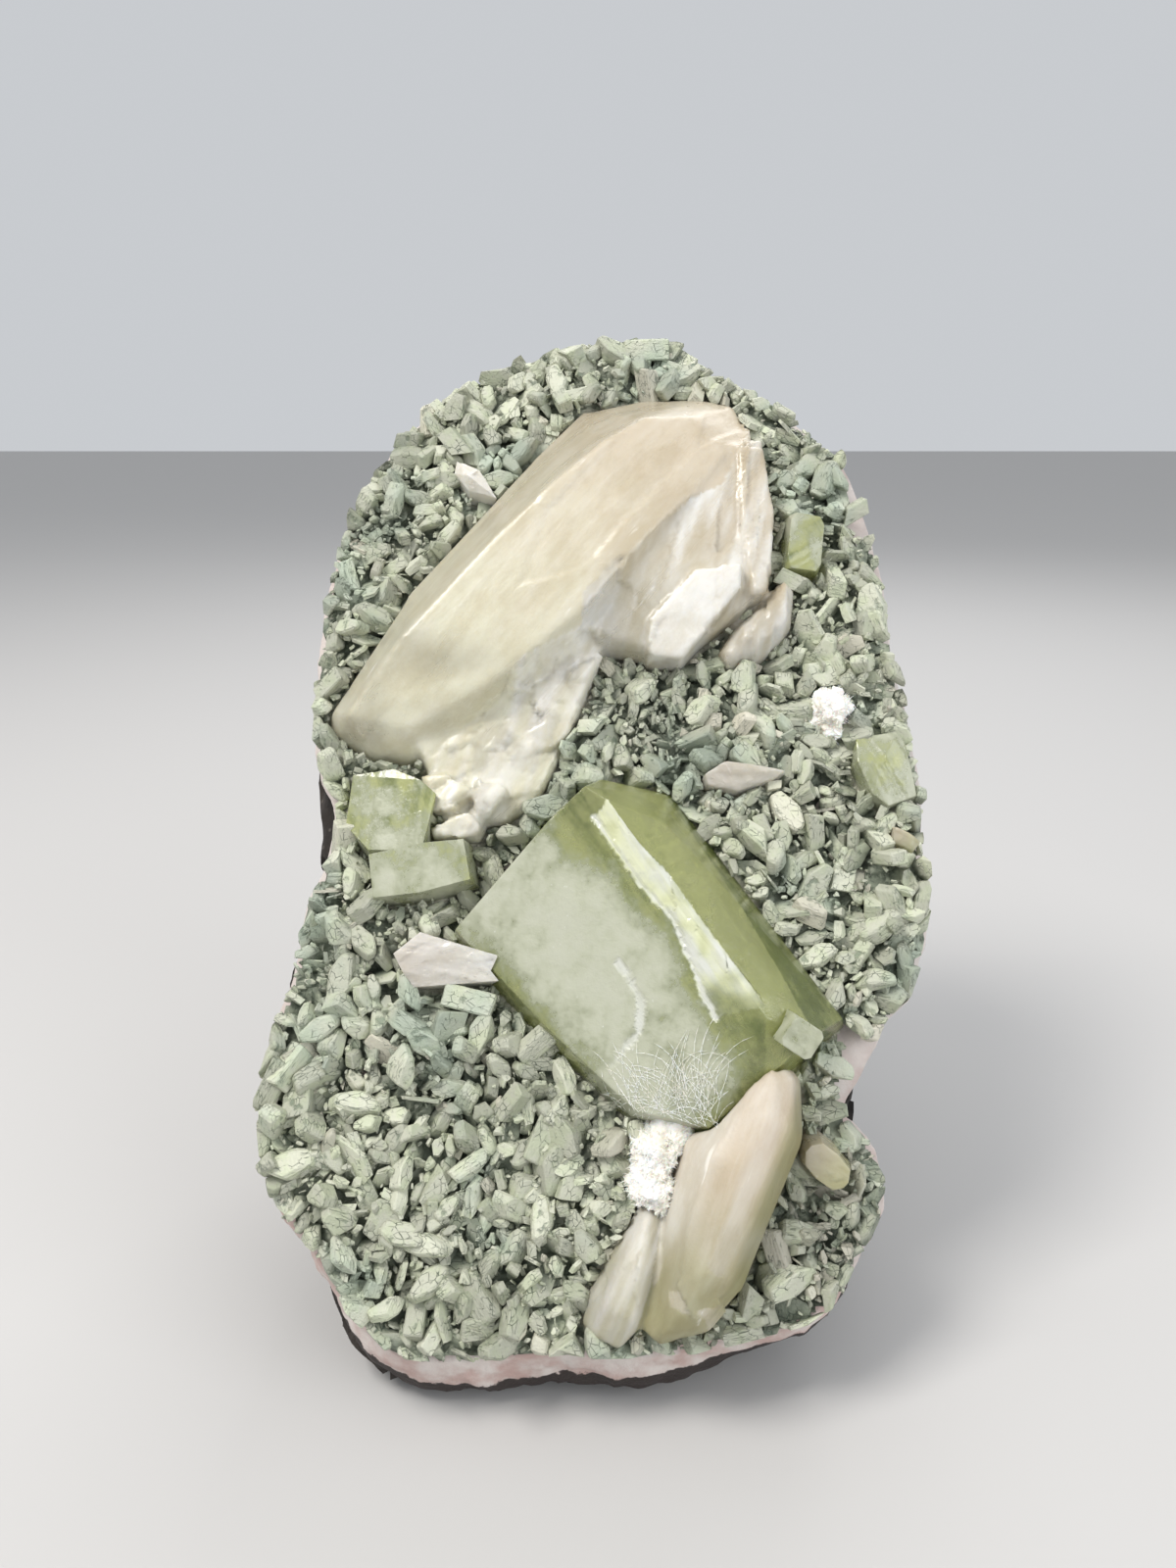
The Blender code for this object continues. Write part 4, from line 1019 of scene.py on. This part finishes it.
apophyllite = {
    "bevel": 0.22, "edge": 0.5, "smallBevel": 0.15, "smallEdge": 0.6, "ior": 1.535, "grainTurn": -58.0,
    "coat": 0.25, "coatRoughness": 0.16, "roughness": 0.14, "frostRoughness": 0.42, "density": 30.0,
    "absorb": (0.74, 0.84, 0.42), "clear": (0.700, 0.730, 0.320), "olive": (0.270, 0.320, 0.110),
    "haze": (0.365, 0.400, 0.225), "frost": (0.520, 0.530, 0.420), "white": (0.690, 0.700, 0.640),
    "cloud": (62.0, 6.0, 0.62), "wisps": (250.0, 6.0, 0.72), "fine": (1100.0, 4.0, 0.6),
    "glints": (1700.0, 2.0, 0.6, 0.70, 0.75), "bump": (0.16, 0.0006),
    # Lines on the upper face of the large crystal
    "crackLeft": ((0.8, 62.0), (6.6, 53.4), (10.7, 48.9), (14.6, 39.0), (15.9, 36.7)),
    "crackRight": ((2.5, 64.2), (6.6, 58.4), (10.4, 54.5), (15.1, 47.5), (21.0, 39.6), (21.9, 38.0)),
    "ridge": ((10.9, 66.0), (12.9, 63.4), (20.2, 50.4), (24.9, 41.6), (28.3, 34.3)),
    "crescent": ((3.7, 43.7), (5.5, 41.3), (6.9, 38.3), (6.4, 35.0), (3.0, 31.0)),
    "cloudLine": ((-9.0, 52.0), (3.0, 42.0), (8.0, 31.0)),
    # Small blocks: density, frost, height of the ribs, turn, depth of the green, clearness
    "blocks": {
        "apophyllite_left": (40.0, 0.26, 0.10, 85.0, 0.50, 0.55),
        "apophyllite_right": (30.0, 0.32, 0.18, 120.0, 0.40, 0.55),
        "apophyllite_upper": (20.0, 0.38, 0.08, 30.0, 0.25, 0.6),
        "apophyllite_tip": (10.0, 0.35, 0.05, 30.0, 0.0, 0.8)}}


def apophylliteMaterial(name, density, clearness=0.7):
    # tone: frost from -1 to 1 packed into 0 to 1, white fractures, depth of the olive green, which on the
    # large crystal is also painted shade
    skin = Surface(name, {
        "IOR": apophyllite["ior"], "Coat Weight": apophyllite["coat"],
        "Coat Roughness": apophyllite["coatRoughness"]})
    frost, crack, depth = skin.tones()

    def around(texture, amount):
        return skin.times(skin.maths("SUBTRACT", texture, 0.5), amount)

    cloud, wisps, fine = (skin.noise(*apophyllite[key]) for key in ("cloud", "wisps", "fine"))
    streaks = skin.noise(420.0, 5.0, 0.65, skin.along(apophyllite["grainTurn"], 7.0))
    milk = skin.plus(around(cloud, 2.4), skin.plus(around(wisps, 1.3), around(fine, 0.6)))
    frosted = skin.ramp(skin.plus(skin.ramp(frost, 0.0, 1.0, -1.0, 1.0), milk), -0.45, 1.35)
    veins = skin.plus(around(wisps, 1.6), around(streaks, 1.8))
    shadow = skin.ramp(skin.plus(depth, veins), 0.12, 0.95)
    colour = skin.mix(shadow, apophyllite["clear"], apophyllite["olive"])
    hazy = skin.mix(frosted, apophyllite["haze"], apophyllite["frost"])
    colour = skin.mix(skin.ramp(frosted, 0.05, 0.55), colour, hazy)
    threads = skin.ramp(streaks, 0.38, 0.62, 0.60, 1.0)
    colour = skin.mix(skin.times(crack, threads), colour, apophyllite["white"])
    # Painted glints: tiny white specks that stand for sparkles on the surface
    glints = skin.times(skin.patches(*apophyllite["glints"]), skin.ramp(wisps, 0.45, 0.6, 0.1, 0.9))
    skin.put("Base Color", skin.mix(glints, colour, apophyllite["white"]))
    clouded = skin.maths("MAXIMUM", frosted, crack)
    skin.put("Transmission Weight", skin.ramp(clouded, 0.0, 0.9, clearness, 0.12))
    rough = apophyllite["roughness"], apophyllite["frostRoughness"]
    skin.put("Roughness", skin.ramp(frosted, 0.0, 1.0, *rough))
    skin.bump(skin.plus(fine, wisps), *apophyllite["bump"])
    absorb = skin.add("ShaderNodeVolumeAbsorption", Density=density, Color=apophyllite["absorb"])
    skin.fill(skin.tree.nodes["Material Output"].inputs["Volume"], absorb.outputs["Volume"])
    return skin.material


def lineDistance(points, line):
    best = np.full(len(points), np.inf)
    for start, end in zip(line[:-1], line[1:]):
        a, b = np.array(start), np.array(end)
        t = np.clip(((points - a) @ (b - a)) / ((b - a) @ (b - a)), 0, 1)
        best = np.minimum(best, np.linalg.norm(points - a - t[:, None] * (b - a), axis=1))
    return best


def sideOf(points, line):
    # Positive to the right of a line that runs down the crystal
    place, height = np.array(line)[::-1].T
    return points[:, 0] - np.interp(points[:, 1], height, place)


def makeMainApophyllite():
    verts, faces = finePolygons("apophyllite_main", apophyllite["bevel"], apophyllite["edge"])
    flat = verts[:, :2]
    high = ramp(verts[:, 2], 6.0, 9.0)
    # The white fracture band fades towards its lower end, between two seams
    band = insideLoop(apophyllite["crackLeft"] + apophyllite["crackRight"][::-1], flat)
    lowEnd = ramp(flat[:, 1] + 2.0 * softNoise(verts, 2.5, 7), 38.5, 43.5)
    crack = band * high * (0.25 + 0.75 * lowEnd) * (0.85 + 0.30 * softNoise(verts, 1.6, 5))
    wander = 0.5 * softNoise(verts, 1.3, 3) + 0.25 * softNoise(verts, 0.5, 4)
    crescent = ramp(lineDistance(flat, apophyllite["crescent"]) + wander, 0.55, 0.1) * high
    seam = ramp(lineDistance(flat, apophyllite["crackLeft"]) + wander * 0.5, 0.5, 0.1) * high
    splinters = np.clip(flatPlates(verts, 90, 1.5, 0.22, apophyllite["grainTurn"], 5.0), -0.5, 0.2)
    steps = np.clip(layeredNoise(flat, 9.0, 23, 2) * 3.0, -1, 1) * 0.12
    verts[:, 2] += band * high * (splinters - 0.25) * lowEnd + steps * high * ~band
    verts[:, 2] -= 0.2 * np.maximum(crescent, seam)
    side = (sideOf(flat, apophyllite["crackRight"]) > 0) & (verts[:, 2] > 1.2)
    outer = sideOf(flat, apophyllite["ridge"]) > 0
    middle = ramp(lineDistance(flat, apophyllite["cloudLine"]), 17.0, 2.0)
    frost = np.clip(-0.55 + 1.40 * middle + 0.1 * band, -1, 1) * (1 - side) - 0.9 * side
    # Painted shade: the outer strip past the ridge is painted a deeper olive than the inner side strip, for
    # the shade on that facet
    depth = np.select([outer, side], [0.72, 0.02], 0.42)
    material = apophylliteMaterial("apophylliteGreen", apophyllite["density"])
    piece = addMesh("apophylliteMain", verts, faces, material)
    setTone(piece, 0.5 + 0.5 * frost, np.clip(np.maximum(crack, np.maximum(crescent, seam)), 0, 1), depth)
    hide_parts("apophyllite_main")


def makeSmallApophyllite(nodeName, density, frost, ribs, turn, depth, clearness):
    name = camel(nodeName)
    verts, faces = finePolygons(nodeName, apophyllite["smallBevel"], apophyllite["smallEdge"])
    across = alongAcross(verts, turn)[1]
    stripes = layeredNoise(np.column_stack([across, across * 0.1]), 1.0, 12, 2)
    verts[:, 2] += ramp(verts[:, 2], 1.5, 3.0) * ribs * stripes
    piece = addMesh(name, verts, faces, apophylliteMaterial(name, density, clearness))
    frost = frost + 0.3 * softNoise(verts, 3.0, 9)
    setTone(piece, 0.5 + 0.5 * frost, 0.0, np.clip(depth + 0.5 * stripes, 0, 1))
    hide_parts(nodeName)


makeMainApophyllite()
for nodeName, settings in apophyllite["blocks"].items():
    makeSmallApophyllite(nodeName, *settings)
print("apophyllite made")


# Mordenite: puffs of fine white needles

mordenite = {
    "white": (0.95, 0.94, 0.91), "cream": (0.93, 0.89, 0.80), "roughness": 0.75, "sheen": 0.3, "glow": 0.2,
    "glowScale": 0.001, "cloud": (420.0, 4.0, 0.55, 0.38, 0.66), "grit": (3200.0, 4.0, 0.7),
    "bump": (0.5, 0.0003), "voxel": 0.3,
    "puffs": {
        "mordenite_puff": {"needles": 1500, "length": (0.5, 1.8), "width": 0.10, "seed": 7},
        "mordenite_tuft": {"needles": 500, "length": (0.5, 1.6), "width": 0.09, "seed": 8}},
    "strands": {
        "count": 110, "seed": 9, "width": 0.045, "steps": 8, "stride": (0.45, 1.35), "left": (3.5, 16.0),
        "low": (23.5, 28.5), "heading": (1.75, 0.55), "bend": 0.16, "over": (0.03, 0.22)}}


def mordeniteMaterial():
    skin = Surface("mordeniteFibre", {
        "Roughness": mordenite["roughness"], "Sheen Weight": mordenite["sheen"],
        "Subsurface Weight": mordenite["glow"], "Subsurface Scale": mordenite["glowScale"]})
    cloud = skin.patches(*mordenite["cloud"])
    skin.put("Base Color", skin.mix(cloud, mordenite["white"], mordenite["cream"]))
    skin.bump(skin.noise(*mordenite["grit"]), *mordenite["bump"])
    return skin.material


def needles(starts, directions, lengths, width):
    # Thin three-sided spikes, as one array of points and one of triangles
    helper = np.where(np.abs(directions[:, 2:3]) < 0.9, [[0.0, 0.0, 1.0]], [[1.0, 0.0, 0.0]])
    sideA = np.cross(directions, helper)
    sideA /= np.linalg.norm(sideA, axis=1)[:, None]
    sideB = np.cross(directions, sideA)
    corners = [
        starts + width * (math.cos(a) * sideA + math.sin(a) * sideB)
        for a in (0.0, 2 * math.pi / 3, 4 * math.pi / 3)]
    tips = starts + directions * lengths[:, None]
    verts = np.stack([*corners, tips], 1).reshape(-1, 3)
    base = np.arange(len(starts))[:, None] * 4
    faces = np.concatenate([base + np.array(t) for t in ((0, 1, 3), (1, 2, 3), (2, 0, 3), (2, 1, 0))])
    return verts, faces


def makePuff(nodeName, settings, material):
    name = camel(nodeName)
    core = refine(nodeName, name + "Core", mordenite["voxel"], 4)
    points, normals = pointsOf(core)
    crumbs = layeredNoise(points, 2.4, 33, 5, 0.7) * 0.8
    points += normals * (crumbs + softNoise(points, 3.5, 37) * 1.3 + 0.6)[:, None]
    movePoints(core, points)
    finish(core, nodeName, material, False)
    points, normals = pointsOf(core)
    rng = np.random.default_rng(settings["seed"])
    chosen = rng.integers(0, len(points), settings["needles"])
    chosen = chosen[points[chosen, 2] > 0.4]
    heading = normals[chosen] + rng.normal(0, 0.75, (len(chosen), 3))
    heading /= np.linalg.norm(heading, axis=1)[:, None]
    lengths = rng.uniform(*settings["length"], len(chosen)) * rng.uniform(0.5, 1.0, len(chosen))
    verts, faces = needles(points[chosen] - heading * 0.2, heading, lengths, settings["width"])
    addMesh(name + "Needles", verts, faces, material)


def makeStrands(material):
    # Long loose fibres that sweep up from the puff over the foot of the large apophyllite
    settings = mordenite["strands"]
    rng = np.random.default_rng(settings["seed"])
    tree = faceTree("apophyllite_main", "mordenite_puff", "stilbite_bowtie")
    verts, faces = [], []
    for _ in range(settings["count"]):
        place = np.array([rng.uniform(*settings["left"]), rng.uniform(*settings["low"])])
        angle = rng.normal(*settings["heading"])
        bend = rng.normal(0, settings["bend"])
        stride = rng.uniform(*settings["stride"])
        line = []
        for _ in range(settings["steps"]):
            hit = tree.ray_cast(Vector((*place, face["above"])), inwards)[0]
            if not hit or hit.z < 1.5:
                break
            line.append((*place, hit.z + rng.uniform(*settings["over"])))
            place = place + stride * np.array([math.cos(angle), math.sin(angle)])
            angle += bend
        if len(line) < 3:
            continue
        runs = np.diff(np.array(line), axis=0)
        lengths = np.linalg.norm(runs, axis=1)
        own, triangles = needles(
            np.array(line)[:-1], runs / lengths[:, None], lengths * 1.25, settings["width"])
        faces.append(triangles + sum(len(v) for v in verts))
        verts.append(own)
    addMesh("mordeniteStrands", np.concatenate(verts), np.concatenate(faces), material)


fibre = mordeniteMaterial()
for nodeName, settings in mordenite["puffs"].items():
    makePuff(nodeName, settings, fibre)
makeStrands(fibre)
print("mordenite made")


# Floor and light

studio = {
    "floor": (0.52, 0.51, 0.50), "floorSize": 6.0, "floorRoughness": 0.8,
    "world": (0.88, 0.91, 0.95), "worldStrength": 0.66, "aim": (0.0, 0.0, 0.06),
    "lamps": {  # place, size, power, colour
        "key": ((-0.34, -0.20, 0.66), 0.26, 4.4, (1.0, 0.97, 0.93)),
        "fill": ((0.50, -0.42, 0.34), 0.50, 2.2, (0.96, 0.98, 1.0)),
        "back": ((0.16, 0.50, 0.55), 0.40, 1.6, (1.0, 1.0, 1.0))}}


def addLight(name, place, size, power, colour):
    data = bpy.data.lights.new(name, "AREA")
    data.shape = "SQUARE"
    data.size = size
    data.energy = power
    data.color = colour
    lamp = bpy.data.objects.new(name, data)
    lamp.location = place
    lamp.rotation_euler = (Vector(place) - Vector(studio["aim"])).to_track_quat("Z", "Y").to_euler()
    bpy.context.scene.collection.objects.link(lamp)


def addStudio():
    bpy.ops.mesh.primitive_plane_add(size=studio["floorSize"], location=(0, 0, 0))
    floor = bpy.context.object
    floor.name = "studioFloor"
    floor.data.materials.append(Surface(
        "studioFloor", {"Roughness": studio["floorRoughness"], "Base Color": studio["floor"]}).material)
    world = bpy.data.worlds.new("studio")
    bpy.context.scene.world = world
    world.use_nodes = True
    sky = world.node_tree.nodes["Background"]
    sky.inputs["Color"].default_value = (*studio["world"], 1.0)
    sky.inputs["Strength"].default_value = studio["worldStrength"]
    for name, settings in studio["lamps"].items():
        addLight(name, *settings)
    bpy.context.scene.view_settings.view_transform = "Standard"


addStudio()
print("studio made")
